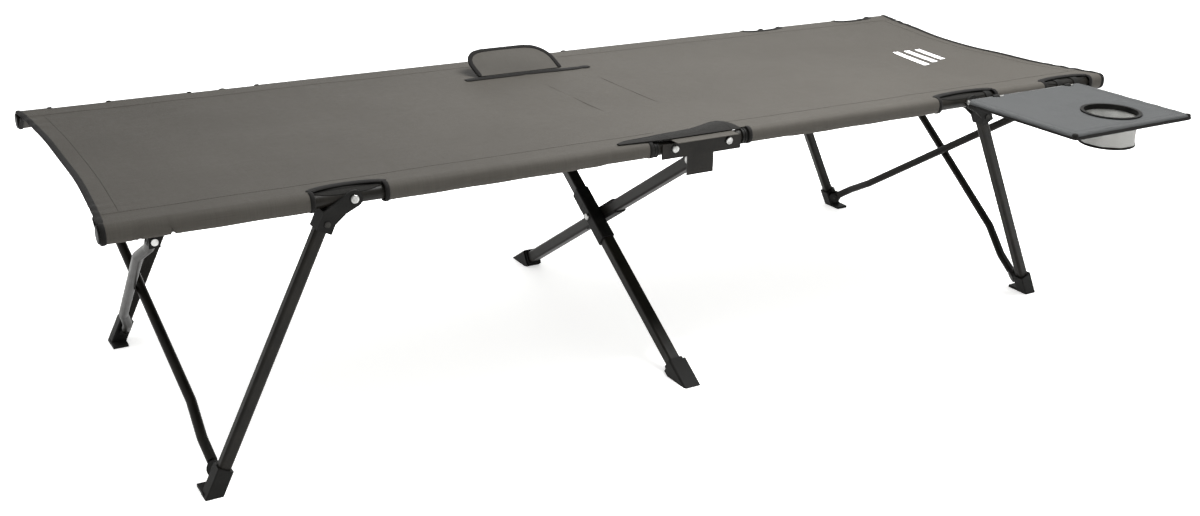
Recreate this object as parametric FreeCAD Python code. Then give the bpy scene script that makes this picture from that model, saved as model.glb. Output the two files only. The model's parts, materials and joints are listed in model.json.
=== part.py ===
"""Folding camp cot with a swing-up side table.

Frame: millimetres, +X along the bed towards the table end, +Y towards the
plain side, +Z up.  The origin is on the floor at the centre of the whole
footprint, so the bed's own centre line lies at y = BED_SHIFT.

Everything is built about the bed's centre line first, with the "near" side
at -Y (the table's side) and the "far" side at +Y, and is moved by BED_SHIFT
when it is written.
"""
import FreeCAD, Part
import math
import os

Vec = FreeCAD.Vector

# ---------------------------------------------------------------- overall
BED_LENGTH = 1905.0          # over the rail end caps
RAIL_SPACING = 624.0         # between the centre lines of the two side rails
RAIL_HEIGHT = 428.0          # rail centre line above the floor

# ---------------------------------------------------------------- rails
RAIL_R = 11.0                # outside radius of the rail tube
RAIL_WALL = 1.2
HINGE_BOLT_X = 53.0          # rail hinge bolt from the middle of the bed
RAIL_STUB = 14.0             # rail beyond its hinge bolt, towards the middle
CAP_LENGTH = 5.0             # plastic cap on the rail's outer end
CAP_LIP = 1.8                # cap flange over the tube
CAP_ROUND = 2.0
CAP_PLUG = 18.0              # cap's plug inside the tube
SLEEVE_RING = 13.0           # length of the ribbed plastic ring by the hinge
RING_GAP = 1.0               # between the channel's swept corner and the ring

# ---------------------------------------------------------------- centre channels
CHANNEL_HALF = 77.0          # half length of the channel's side plates
CHANNEL_WALL = 2.8
CHANNEL_UP = 9.0             # side plates above the rail centre line
CHANNEL_SKIRT = 5.0          # side plates below the rail tube
STOP_GAP = 1.0               # end of the stop web to the rail stub's round
STOP_SEAT = 0.1              # between the stop web and the rail it carries
STOP_WALL = 2.4              # web that the rail stubs rest on
CLEVIS_WALL = 3.0
CLEVIS_DROP = 36.0           # centre leg's pin below the rail centre line
CLEVIS_INSET = 22.0          # centre leg's pin inboard of the rail
CLEVIS_END = 14.0            # clevis ear below and inboard of its pin
CLEVIS_GAP = 0.35            # clevis ear to the tube's side
CLEVIS_HEAD_T = 1.6          # thin head and nut on the clevis pin

# ---------------------------------------------------------------- crossed centre legs
X_TUBE = 22.0                # side of the rounded square tube
X_WALL = 1.5
X_CORNER = 4.0
X_GAP = 0.5                  # between the two crossed tubes
X_FOOT_OUT = 6.0             # centre leg's sole outboard of the rail
X_TUBE_END = 12.0            # tube beyond its upper pin
X_FOOT_WALL = 6.0            # moulded foot round the tube
X_FOOT_LENGTH = 40.0
X_FOOT_STEP = 6.0            # collar above the wide part of the foot
COLLAR_LENGTH = 120.0
COLLAR_WALL = 2.4
CLOSE_ANGLE = 50.0           # each centre leg steepens by this as the sides close

# ---------------------------------------------------------------- end legs
LEG_PIVOT_INSET = 352.5      # leg bolt from the end of the rail
LEG_ANGLE = 64.2             # leg to the floor when the cot stands
LEG_RAIL_GAP = 1.0           # elbow block to the underside of the rail
LEG_TUBE = 19.0
LEG_WALL = 1.5
LEG_CORNER = 5.0
ELBOW_SKIN = 2.5             # elbow block over the tube, along the cot
ELBOW_SKIN_Y = 1.5           # elbow block over the tube's inboard side
ELBOW_DROP = 21.0            # elbow block beyond the rail's side, along the leg
ELBOW_BLOCK = 28.0           # length of the elbow block
ELBOW_WALL = 3.6
ELBOW_DISC = 13.0            # round of the elbow's cheeks about the bolt
ELBOW_SOCKET = 3.0           # tube end below the top of the elbow block
ELBOW_THROAT = 12.0          # block top to where the gusset starts
GUSSET_RISE = 8.0            # gusset's bend above the block top

# ---------------------------------------------------------------- feet of the end legs
BOOT_LENGTH = 46.0
BOOT_WALL = 3.0              # boot over the tube, along the cot
BOOT_WALL_Y = 3.5            # boot over the tube, across the cot
BOOT_CORNER = 2.5
BOOT_FLOOR = 13.0            # tube end above the sole
SKIRT_INSET = 0.5            # sole flange short of the boot's corner
BOOT_FLANGE = 5.0            # thick flange at the sole
BRACE_PIN_UP = 32.0          # brace pin up the leg from its sole
BRACE_PIN_GAP = 17.0         # brace pins inboard of the rail's side
LOBE_R = 12.0
LOBE_HALF = 7.0

# ---------------------------------------------------------------- braces
BRACE_R = 8.0
BRACE_WALL = 1.2
BRACE_JOG_GAP = 3.2          # run's side off the line between its pins
JOG_START = 55.0             # from a pin to the start of the jog
JOG_RUN = 70.0               # length of the jog
JOG_BEND = 40.0              # bend radius
TONGUE = 5.0                 # flattened end, thickness
TONGUE_WIDTH = 15.0
TONGUE_LENGTH = 30.0
TONGUE_STEP = 2.0            # round tube starts this far beyond the lobe
TONGUE_SLOT_GAP = 1.5        # slot in the boot wider than the tongue, each side
SLOT_LENGTH = 14.0           # slot in the upper tongue
BRACE_TOP_INSET = 75.0       # upper brace pin from the end of the rail
BRACE_TOP_DROP = 15.0        # upper brace pin below the rail tube
SWIVEL_R = 9.0
SWIVEL_WALL = 2.5
SWIVEL_FACE_T = 2.0          # back plate of the swivel
SWIVEL_ARM = 0.62            # half width of its arms, of its radius
SWIVEL_BOSS_STEP = 2.0       # boss radius below the back plate's
SWIVEL_MOUTH_GAP = 0.8       # clear of the brace's tongue
STUB_HEAD_T = 2.5
STUB_HEAD_LIP = 2.0
LUG_WIDTH = 16.0
LUG_WALL = 4.0
LUG_GAP = 3.0                # lug plate inboard edge to the rail's side
LUG_BRIDGE = 3.5             # bridge between clamp and lug, below the rail

# ---------------------------------------------------------------- fasteners and fits
BOLT_R = 4.0
PIN_R = 3.0
HEAD_R = 6.5
HEAD_T = 3.6
HEAD_DOME = 0.55             # rounding of a bolt head, of its thickness
HEAD_SEAT = 0.3              # between a bolt head and a part that turns
RIVET_T = 1.4
RIVET_LIP = 1.6
RUNNING = 0.05               # radial clearance of a turning fit
CLEAR = 0.4                  # between faces that slide past each other

# ---------------------------------------------------------------- bed fabric
SLEEVE_THICK = 3.0           # fabric and its slack over the rail tube
SLEEVE_GAP = 0.3             # sleeve's inside to the rail tube
RING_PROUD = 0.1             # plastic rings below the sleeve's outside
RING_GROOVE = 0.9
RING_RIB = 2.0               # width of each of the ring's three ribs
PANEL_T = 1.2
HEM_INSET = 6.0              # fabric ends short of the rail caps
CENTRE_SPLIT = 60.0          # half length of the strip over the hinge
CENTRE_GAP = 0.2             # between that strip and the two halves
CUTOUT_HALF = 61.0           # half length of a cut-back in the sleeve
CUTOUT_INSET = 100.5         # middle of the outer cut-back from the end of the rail

# ---------------------------------------------------------------- side table
TABLE_WIDTH = 285.0
TABLE_REACH = 252.0          # from its hinge rod to its outer edge
TABLE_TO_CLIP = 70.0         # inner edge to the first clip's middle
TABLE_ROD_R = 3.5
TABLE_ROD_GAP = 15.0         # hinge rod outboard of the rail's side
TABLE_ROD_UP = 6.0           # hinge rod above the rail centre line
TABLE_CLOTH = 2.4
SADDLE_LENGTH = 14.0
SADDLE_FROM_LEG = 45.0       # first clip beyond the leg bolt
SADDLE_FROM_CUTOUT = 20.0    # second clip before the middle of the outer cut-back
SADDLE_SHELF = 22.0          # stop under the table, from its hinge rod
SADDLE_EYE = 2.6             # eye round the hinge rod
SADDLE_SEAT = 0.5            # arm clear of the rail, clip below the sleeve
NOTCH_GAP = 1.5              # cloth round each clip
NOTCH_DEPTH = 9.0
CLOTH_EDGE = 0.3             # cloth to the rods' sides
CUP_R = 47.0                 # inside of the cup hole
CUP_RING = 6.0
CUP_DEPTH = 56.0
CUP_WALL = 1.6
CUP_INSET = 102.0            # cup centre from the table's outer end
CUP_OUT = 170.0              # cup centre outboard of the hinge rod
CUP_LIP_T = 2.0
CUP_SEAT = 2.0               # lip beyond the hole in the cloth
CUP_SLEEVE = 5.0             # ring below the cloth
CUP_POUCH_OUT = 2.5          # pouch outside beyond the cup hole
CUP_FLOOR_T = 2.4
CUP_FLOOR_GAP = 0.6

# ---------------------------------------------------------------- bed pocket
POCKET_WIDTH = 176.0
POCKET_HEIGHT = 70.0
POCKET_ROUND = 42.0
POCKET_T = 3.0
POCKET_LEAN = 30.0           # above the bed when it stands
POCKET_Y = 190.0
POCKET_X = -66.0
POCKET_SEAT = 0.4            # seam above the bed cloth

# ---------------------------------------------------------------- worked out
RAIL_Y = RAIL_SPACING / 2
RAIL_END = BED_LENGTH / 2
SLEEVE_R = RAIL_R + SLEEVE_THICK
CHANNEL_DOWN = RAIL_R + CHANNEL_SKIRT
X_FOOT = X_TUBE + 2 * X_FOOT_WALL
LEG_PIVOT_X = RAIL_END - LEG_PIVOT_INSET
ELBOW_START = RAIL_R + ELBOW_DROP
ELBOW_END = ELBOW_START + ELBOW_BLOCK
ELBOW_SIDE = LEG_TUBE / 2 + ELBOW_SKIN
ELBOW_OUT = RAIL_R + CLEAR + ELBOW_WALL
LEG_OFFSET = RAIL_R + ELBOW_SIDE + LEG_RAIL_GAP
LEG_INSET = ELBOW_OUT - LEG_TUBE / 2 - ELBOW_SKIN_Y
BOOT_SIDE = LEG_TUBE / 2 + BOOT_WALL
BRACE_PIN_INSET = RAIL_R + BRACE_PIN_GAP
BRACE_JOG = BRACE_R + BRACE_JOG_GAP
BRACE_TOP_X = RAIL_END - BRACE_TOP_INSET
CUTOUT_X = RAIL_END - CUTOUT_INSET
TONGUE_BASE = LOBE_R + TONGUE_STEP
GAMMA = math.radians(LEG_ANGLE)
LEG_DOWN = Vec(math.cos(GAMMA), 0, -math.sin(GAMMA))
LEG_SIDE = Vec(math.sin(GAMMA), 0, math.cos(GAMMA))
LEG_Y = RAIL_Y - LEG_INSET
BRACE_Y = RAIL_Y - BRACE_PIN_INSET
LEG_SOLE_S = (RAIL_HEIGHT + LEG_OFFSET * math.cos(GAMMA)) / math.sin(GAMMA)
BRACE_PIN_S = LEG_SOLE_S - BRACE_PIN_UP
X_PIN_Y = RAIL_Y - CLEVIS_INSET
X_PIN_Z = RAIL_HEIGHT - CLEVIS_DROP
X_FOOT_Y = RAIL_Y + X_FOOT_OUT
X_RISE = math.atan2(X_PIN_Z, X_FOOT_Y + X_PIN_Y)
X_HUB_Z = X_FOOT_Y * math.tan(X_RISE)
X_SIDE = X_TUBE / 2 + X_GAP / 2
BRACE_TOP_Z = RAIL_HEIGHT - RAIL_R - BRACE_TOP_DROP
LUG_INNER_Y = RAIL_Y - RAIL_R - LUG_GAP
SADDLE_FIRST_X = LEG_PIVOT_X + SADDLE_FROM_LEG
SADDLE_SECOND_X = CUTOUT_X - SADDLE_FROM_CUTOUT
TABLE_NEAR_X = SADDLE_FIRST_X - TABLE_TO_CLIP
TABLE_HINGE_Y = -(RAIL_Y + RAIL_R + TABLE_ROD_GAP)
TABLE_HINGE_Z = RAIL_HEIGHT + TABLE_ROD_UP
TABLE_OUT_Y = TABLE_HINGE_Y - TABLE_REACH
TABLE_FAR_X = TABLE_NEAR_X + TABLE_WIDTH
PANEL_Z = RAIL_HEIGHT + SLEEVE_R
FAR_EDGE = X_FOOT_Y + X_FOOT / 2 / math.sin(X_RISE)
NEAR_EDGE = -TABLE_OUT_Y + TABLE_ROD_R
BED_SHIFT = (NEAR_EDGE - FAR_EDGE) / 2
CHANNEL_REACH = math.hypot(CHANNEL_HALF - HINGE_BOLT_X, CHANNEL_DOWN)
RING_START = HINGE_BOLT_X + CHANNEL_REACH + RING_GAP
SLEEVE_START = RING_START + SLEEVE_RING + RING_GAP
LEG_FOLD = 180.0 - LEG_ANGLE
CUP_X = TABLE_FAR_X - CUP_INSET
CUP_Y = TABLE_HINGE_Y - CUP_OUT
CUP_TOP_Z = TABLE_HINGE_Z
CUP_POUCH_R = CUP_R + CUP_POUCH_OUT
CUP_HOLE_R = CUP_R + CUP_RING - CUP_SEAT

SIDES = {"near": -1, "far": 1}
ENDS = {"left": -1, "right": 1}


# ---------------------------------------------------------------- helpers
def frame_at(origin, z_axis, x_hint):
    """Placement whose local Z is z_axis and whose local X is near x_hint."""
    z = Vec(z_axis).normalize()
    y = z.cross(x_hint).normalize()
    x = y.cross(z)
    matrix = FreeCAD.Matrix(
        x.x, y.x, z.x, origin.x,
        x.y, y.y, z.y, origin.y,
        x.z, y.z, z.z, origin.z,
        0, 0, 0, 1)
    return FreeCAD.Placement(matrix)


def rod(start, end, radius):
    run = end - start
    return Part.makeCylinder(radius, run.Length, start, run)


def ring(start, end, outer, inner):
    return rod(start, end, outer).cut(rod(start, end, inner))


def block(x0, x1, y0, y1, z0, z1):
    return Part.makeBox(x1 - x0, y1 - y0, z1 - z0, Vec(x0, y0, z0))


def rounded_bar(width, depth, length, corner):
    """Bar along local +Z from z = 0, centred on x = y = 0, long edges rounded."""
    bar = Part.makeBox(width, depth, length, Vec(-width / 2, -depth / 2, 0))
    edges = [e for e in bar.Edges if abs(e.BoundBox.ZLength - length) < 1e-6]
    return bar.makeFillet(corner, edges)


def square_tube(start, end, side, wall, corner, x_hint):
    run = end - start
    outer = rounded_bar(side, side, run.Length, corner)
    inner = rounded_bar(side - 2 * wall, side - 2 * wall, run.Length, corner - wall)
    tube = outer.cut(inner)
    tube.Placement = frame_at(start, run, x_hint)
    return tube


def square_bar(start, end, side, corner, x_hint):
    run = end - start
    bar = rounded_bar(side, side, run.Length, corner)
    bar.Placement = frame_at(start, run, x_hint)
    return bar


def plate(points, direction):
    """Flat plate: the polygon through points, pushed along direction."""
    return Part.Face(Part.makePolygon(points + [points[0]])).extrude(direction)


def bent_path(points, radius):
    """Straight runs joined by tangent arcs of one radius."""
    edges = []
    start = points[0]
    for before, corner, after in zip(points, points[1:], points[2:]):
        into = (corner - before).normalize()
        out = (after - corner).normalize()
        half_turn = into.getAngle(out) / 2
        setback = radius * math.tan(half_turn)
        arc_start = corner - into * setback
        arc_end = corner + out * setback
        bisector = (out - into).normalize()
        centre = corner + bisector * (radius / math.cos(half_turn))
        middle = centre - bisector * radius
        edges.append(Part.LineSegment(start, arc_start).toShape())
        edges.append(Part.Arc(arc_start, middle, arc_end).toShape())
        start = arc_end
    edges.append(Part.LineSegment(start, points[-1]).toShape())
    return Part.Wire(edges)


def sweep(path, radius):
    start = path.Edges[0].Vertexes[0].Point
    heading = path.Edges[0].Vertexes[-1].Point - start
    section = Part.Face(Part.Wire(Part.makeCircle(radius, start, heading)))
    return path.makePipe(section)


def bolt(start, end, head_r=HEAD_R, shaft_r=BOLT_R, head_t=HEAD_T):
    """Bolt whose shaft fills start..end, with a domed head before and a nut after."""
    way = (end - start).normalize()
    shaft = rod(start, end, shaft_r)
    head = rod(start - way * head_t, start, head_r)
    rims = [edge for edge in head.Edges if edge.Curve.TypeId == "Part::GeomCircle"]
    outer_rim = max(rims, key=lambda rim: rim.Curve.Center.distanceToPoint(start))
    head = head.makeFillet(head_t * HEAD_DOME, [outer_rim])
    nut = Part.Face(Part.Wire(Part.makeCircle(head_r, end, way))).extrude(way * head_t)
    return shaft.fuse([head, nut])


def mirrored(shape, sign_x, sign_y):
    """A shape built for +X and +Y, moved to another corner of the bed."""
    if sign_x < 0:
        shape = shape.mirror(Vec(0, 0, 0), Vec(1, 0, 0))
    if sign_y < 0:
        shape = shape.mirror(Vec(0, 0, 0), Vec(0, 1, 0))
    return shape


def merge(shapes):
    body = shapes[0].fuse(shapes[1:]) if len(shapes) > 1 else shapes[0]
    return body.removeSplitter()


# ---------------------------------------------------------------- end leg geometry
def leg_point(along, beside=0.0, y=LEG_Y):
    """Point on the leg of the +X +Y corner: along it from its bolt, and beside it."""
    pivot = Vec(LEG_PIVOT_X, y, RAIL_HEIGHT)
    return pivot + LEG_SIDE * (LEG_OFFSET + beside) + LEG_DOWN * along


def brace_pin():
    return leg_point(BRACE_PIN_S, 0.0, BRACE_Y)


def brace_top():
    """Upper pin of the brace of the +X +Y corner, on the opposite rail."""
    return Vec(BRACE_TOP_X, -BRACE_Y, BRACE_TOP_Z)


def closed_rail_y():
    """Rail centre line from the bed's middle when the sides are closed."""
    arm = math.hypot(X_PIN_Z - X_HUB_Z, X_PIN_Y)
    return CLEVIS_INSET + arm * math.cos(X_RISE + math.radians(CLOSE_ANGLE))


def brace_directions():
    """Unit vectors from the lower pin: open, and closed seen from the open leg."""
    opened = (brace_top() - brace_pin()).normalize()
    rail_y = closed_rail_y()
    side_shift = RAIL_Y - rail_y
    folded_leg = FreeCAD.Rotation(Vec(0, 1, 0), LEG_FOLD)
    pivot = Vec(LEG_PIVOT_X, 0, RAIL_HEIGHT)
    pin = folded_leg.multVec(brace_pin() - pivot) + pivot - Vec(0, side_shift, 0)
    top = brace_top() + Vec(0, side_shift, 0)
    closed = folded_leg.inverted().multVec((top - pin).normalize())
    return opened, closed


OPEN_WAY, CLOSED_WAY = brace_directions()
BRACE_AXIS = OPEN_WAY.cross(CLOSED_WAY).normalize()


# ---------------------------------------------------------------- crossed centre legs
def x_leg_line(foot_side):
    """Foot, hub and pin points of the centre leg whose foot is on foot_side."""
    x = X_SIDE * foot_side
    foot = Vec(x, foot_side * X_FOOT_Y, 0)
    hub = Vec(x, 0, X_HUB_Z)
    pin = Vec(x, -foot_side * X_PIN_Y, X_PIN_Z)
    return foot, hub, pin


def x_leg(foot_side):
    foot, hub, pin = x_leg_line(foot_side)
    way = (pin - foot).normalize()
    tube = square_tube(foot + way * (X_FOOT_STEP + X_TUBE / 2), pin + way * X_TUBE_END,
                       X_TUBE, X_WALL, X_CORNER, Vec(1, 0, 0))
    across = Vec(X_TUBE, 0, 0)
    hub_r = BOLT_R if foot_side < 0 else BOLT_R + RUNNING
    for centre, radius in ((hub, hub_r), (pin, BOLT_R + RUNNING)):
        tube = tube.cut(rod(centre - across, centre + across, radius))
    return tube


def x_foot(foot_side):
    foot, _, pin = x_leg_line(foot_side)
    way = (pin - foot).normalize()
    wide = square_bar(foot - way * X_FOOT, foot + way * (X_FOOT_LENGTH - X_FOOT_STEP),
                      X_FOOT, X_CORNER, Vec(1, 0, 0))
    neck = square_bar(foot, foot + way * X_FOOT_LENGTH, X_FOOT - 2 * CLEVIS_WALL,
                      X_CORNER, Vec(1, 0, 0))
    shoe = wide.fuse(neck)
    floor = block(-X_FOOT * 2, X_FOOT * 2, -RAIL_SPACING, RAIL_SPACING, -X_FOOT * 3, 0)
    socket = square_bar(foot + way * (X_FOOT_STEP + X_TUBE / 2), pin, X_TUBE,
                        X_CORNER, Vec(1, 0, 0))
    return shoe.cut(floor).cut(socket)


def x_collar(foot_side):
    """Moulded cover on the three outer faces of one centre leg at the crossing."""
    foot, hub, pin = x_leg_line(foot_side)
    way = (pin - foot).normalize()
    start = hub - way * (COLLAR_LENGTH / 2)
    end = hub + way * (COLLAR_LENGTH / 2)
    cover = square_bar(start, end, X_TUBE + 2 * COLLAR_WALL, X_CORNER, Vec(1, 0, 0))
    core = square_bar(start, end, X_TUBE, X_CORNER, Vec(1, 0, 0))
    reach = BED_LENGTH
    inner_x = hub.x - foot_side * X_TUBE / 2
    keep = block(min(inner_x, foot_side * reach), max(inner_x, foot_side * reach),
                 -reach, reach, -reach, reach)
    across = Vec(X_TUBE, 0, 0)
    hole = rod(hub - across, hub + across, BOLT_R + RUNNING)
    return cover.cut(core).common(keep).cut(hole)


def hub_bolt():
    reach = X_SIDE + X_TUBE / 2 + COLLAR_WALL + HEAD_SEAT
    return bolt(Vec(-reach, 0, X_HUB_Z), Vec(reach, 0, X_HUB_Z))


# ---------------------------------------------------------------- centre channels
def channel(side):
    """Open-topped steel channel at the middle of a side, with the leg's clevis."""
    inner = RAIL_R + CLEAR
    outer = inner + CHANNEL_WALL
    low = RAIL_HEIGHT - CHANNEL_DOWN
    high = RAIL_HEIGHT + CHANNEL_UP
    y = side * RAIL_Y
    parts = []
    for flank in (-1, 1):
        wall_y = sorted((y + flank * inner, y + flank * outer))
        parts.append(block(-CHANNEL_HALF, CHANNEL_HALF, *wall_y, low, high))
    stop_half = HINGE_BOLT_X - RAIL_R - STOP_GAP
    stop_top = RAIL_HEIGHT - RAIL_R - STOP_SEAT
    parts.append(block(-stop_half, stop_half, y - outer, y + outer,
                       stop_top - STOP_WALL, stop_top))
    pin = Vec(-side * X_SIDE, side * X_PIN_Y, X_PIN_Z)
    ear_in = X_TUBE / 2 + CLEVIS_GAP
    back = side * (RAIL_Y + inner)
    ear_y = sorted((side * (X_PIN_Y - CLEVIS_END), back))
    ear_low = X_PIN_Z - CLEVIS_END
    for flank in (-1, 1):
        ear_x = sorted((pin.x + flank * ear_in, pin.x + flank * (ear_in + CLEVIS_WALL)))
        ear = block(*ear_x, *ear_y, ear_low, stop_top - STOP_WALL)
        parts.append(ear)
    web_half = X_SIDE + ear_in + CLEVIS_WALL
    web_y = sorted((back - side * CLEVIS_WALL, back))
    parts.append(block(-web_half, web_half, *web_y, ear_low, stop_top - STOP_WALL))
    body = merge(parts)
    for end in (-1, 1):
        centre = Vec(end * HINGE_BOLT_X, y, RAIL_HEIGHT)
        reach = Vec(0, outer + 1, 0)
        body = body.cut(rod(centre - reach, centre + reach, BOLT_R))
    across = Vec(web_half, 0, 0)
    return body.cut(rod(pin - across, pin + across, BOLT_R))


def channel_fasteners(side):
    outer = RAIL_R + CLEAR + CHANNEL_WALL
    y = side * RAIL_Y
    solids = []
    for end in (-1, 1):
        out = Vec(end * HINGE_BOLT_X, y + side * outer, RAIL_HEIGHT)
        inn = Vec(end * HINGE_BOLT_X, y - side * outer, RAIL_HEIGHT)
        solids.append(bolt(out, inn))
    pin = Vec(-side * X_SIDE, side * X_PIN_Y, X_PIN_Z)
    half = Vec(X_TUBE / 2 + CLEVIS_GAP + CLEVIS_WALL, 0, 0)
    solids.append(bolt(pin - half, pin + half, head_t=CLEVIS_HEAD_T))
    return Part.makeCompound(solids)


# ---------------------------------------------------------------- rails (+X +Y corner)
def rail():
    start = Vec(HINGE_BOLT_X - RAIL_STUB, RAIL_Y, RAIL_HEIGHT)
    end = Vec(RAIL_END - CAP_LENGTH, RAIL_Y, RAIL_HEIGHT)
    tube = ring(start, end, RAIL_R, RAIL_R - RAIL_WALL)
    top = RAIL_HEIGHT + RAIL_R
    relief = [Vec(start.x - 1, 0, RAIL_HEIGHT - 2), Vec(start.x, 0, RAIL_HEIGHT - 2),
              Vec(start.x + top - RAIL_HEIGHT, 0, top + 1), Vec(start.x - 1, 0, top + 1)]
    tube = tube.cut(plate(relief, Vec(0, RAIL_SPACING, 0)))
    for x, radius in ((HINGE_BOLT_X, BOLT_R + RUNNING), (LEG_PIVOT_X, BOLT_R)):
        centre = Vec(x, RAIL_Y, RAIL_HEIGHT)
        reach = Vec(0, RAIL_R + 1, 0)
        tube = tube.cut(rod(centre - reach, centre + reach, radius))
    return tube


def rail_fittings():
    """Ribbed ring by the hinge, end cap, and the clamp that holds the brace."""
    def at(x):
        return Vec(x, RAIL_Y, RAIL_HEIGHT)
    outer = SLEEVE_R - RING_PROUD
    collar = ring(at(RING_START), at(RING_START + SLEEVE_RING), outer - RING_GROOVE, RAIL_R)
    rib_step = (SLEEVE_RING - RING_RIB) / 2
    rib_starts = [RING_START + count * rib_step for count in range(3)]
    ribs = [ring(at(low), at(low + RING_RIB), outer, RAIL_R) for low in rib_starts]
    collar = merge([collar] + ribs)
    cap = rod(at(RAIL_END - CAP_LENGTH), at(RAIL_END), RAIL_R + CAP_LIP)
    outer_rim = max(cap.Edges, key=lambda rim: rim.BoundBox.XMin)
    cap = cap.makeFillet(CAP_ROUND, [outer_rim])
    plug = rod(at(RAIL_END - CAP_LENGTH - CAP_PLUG), at(RAIL_END - CAP_LENGTH),
               RAIL_R - RAIL_WALL)
    cap = merge([cap, plug])
    clamp_start = BRACE_TOP_X - LUG_WIDTH / 2
    clamp = ring(at(clamp_start), at(clamp_start + LUG_WIDTH), outer, RAIL_R)
    lug = block(clamp_start, clamp_start + LUG_WIDTH, LUG_INNER_Y, LUG_INNER_Y + LUG_WALL,
                BRACE_TOP_Z - SWIVEL_R, RAIL_HEIGHT - RAIL_R / 2)
    bridge = block(clamp_start, clamp_start + LUG_WIDTH, LUG_INNER_Y, RAIL_Y,
                   RAIL_HEIGHT - RAIL_R - LUG_BRIDGE, RAIL_HEIGHT - RAIL_R / 2)
    hold = merge([clamp, lug, bridge]).cut(rod(at(clamp_start - 1),
                                               at(clamp_start + LUG_WIDTH + 1), RAIL_R))
    centre = Vec(BRACE_TOP_X, RAIL_Y, BRACE_TOP_Z)
    hold = hold.cut(rod(centre - Vec(0, RAIL_SPACING / 2, 0), centre, PIN_R))
    return Part.makeCompound([collar, cap, hold])


def rail_bolts():
    """Bolt of the end leg and the stub that the brace swivel turns on."""
    reach = ELBOW_OUT + HEAD_SEAT
    elbow = bolt(Vec(LEG_PIVOT_X, RAIL_Y + reach, RAIL_HEIGHT),
                 Vec(LEG_PIVOT_X, RAIL_Y - reach, RAIL_HEIGHT))
    outside = LUG_INNER_Y + LUG_WALL
    boss_in = BRACE_Y + SWIVEL_R + SWIVEL_FACE_T
    stub = rod(Vec(BRACE_TOP_X, outside, BRACE_TOP_Z),
               Vec(BRACE_TOP_X, boss_in, BRACE_TOP_Z), PIN_R)
    head = rod(Vec(BRACE_TOP_X, outside, BRACE_TOP_Z),
               Vec(BRACE_TOP_X, outside + STUB_HEAD_T, BRACE_TOP_Z), PIN_R + STUB_HEAD_LIP)
    return Part.makeCompound([elbow, merge([stub, head])])


# ---------------------------------------------------------------- end legs (+X +Y corner)
def leg_tube():
    return square_tube(leg_point(ELBOW_START + ELBOW_SOCKET), leg_point(LEG_SOLE_S - BOOT_FLOOR),
                       LEG_TUBE, LEG_WALL, LEG_CORNER, Vec(0, 1, 0))


def leg_core():
    return square_bar(leg_point(ELBOW_START + ELBOW_SOCKET), leg_point(LEG_SOLE_S - BOOT_FLOOR),
                      LEG_TUBE, LEG_CORNER, Vec(0, 1, 0))


def elbow():
    """Moulded fork over the rail, running into a block round the leg's top."""
    inner = RAIL_R + CLEAR
    low = RAIL_Y - ELBOW_OUT
    depth = Vec(0, 2 * ELBOW_OUT, 0)

    def at(along, beside):
        return leg_point(along, beside - LEG_OFFSET, low)
    near_e = LEG_OFFSET - ELBOW_SIDE
    far_e = LEG_OFFSET + ELBOW_SIDE
    cheek = ELBOW_DISC * math.sqrt(0.5)
    outline = [at(-ELBOW_DISC / 2, ELBOW_DISC * math.sqrt(0.75)), at(ELBOW_START, far_e),
               at(ELBOW_END, far_e), at(ELBOW_END, near_e), at(ELBOW_START + ELBOW_THROAT, near_e),
               at(ELBOW_START - GUSSET_RISE, near_e - cheek), at(cheek, -cheek)]
    fork = plate(outline, depth)
    pivot = Vec(LEG_PIVOT_X, low, RAIL_HEIGHT)
    fork = fork.fuse(Part.makeCylinder(ELBOW_DISC, depth.y, pivot, Vec(0, 1, 0)))
    gap_y = RAIL_Y - inner
    gap = Vec(0, 2 * inner, 0)
    reach = 2 * (ELBOW_END + ELBOW_DISC)
    mouth = plate([leg_point(-reach, -reach, gap_y), leg_point(-reach, reach, gap_y),
                   leg_point(ELBOW_START, reach, gap_y), leg_point(ELBOW_START, -reach, gap_y)],
                  gap)
    under = plate([leg_point(0, -reach, gap_y), leg_point(0, -ELBOW_SIDE, gap_y),
                   leg_point(reach, -ELBOW_SIDE, gap_y), leg_point(reach, -reach, gap_y)],
                  gap)
    fork = fork.cut(mouth).cut(under).cut(leg_core())
    reach = Vec(0, ELBOW_OUT + 1, 0)
    centre = Vec(LEG_PIVOT_X, RAIL_Y, RAIL_HEIGHT)
    return fork.cut(rod(centre - reach, centre + reach, BOLT_R + RUNNING))


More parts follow.
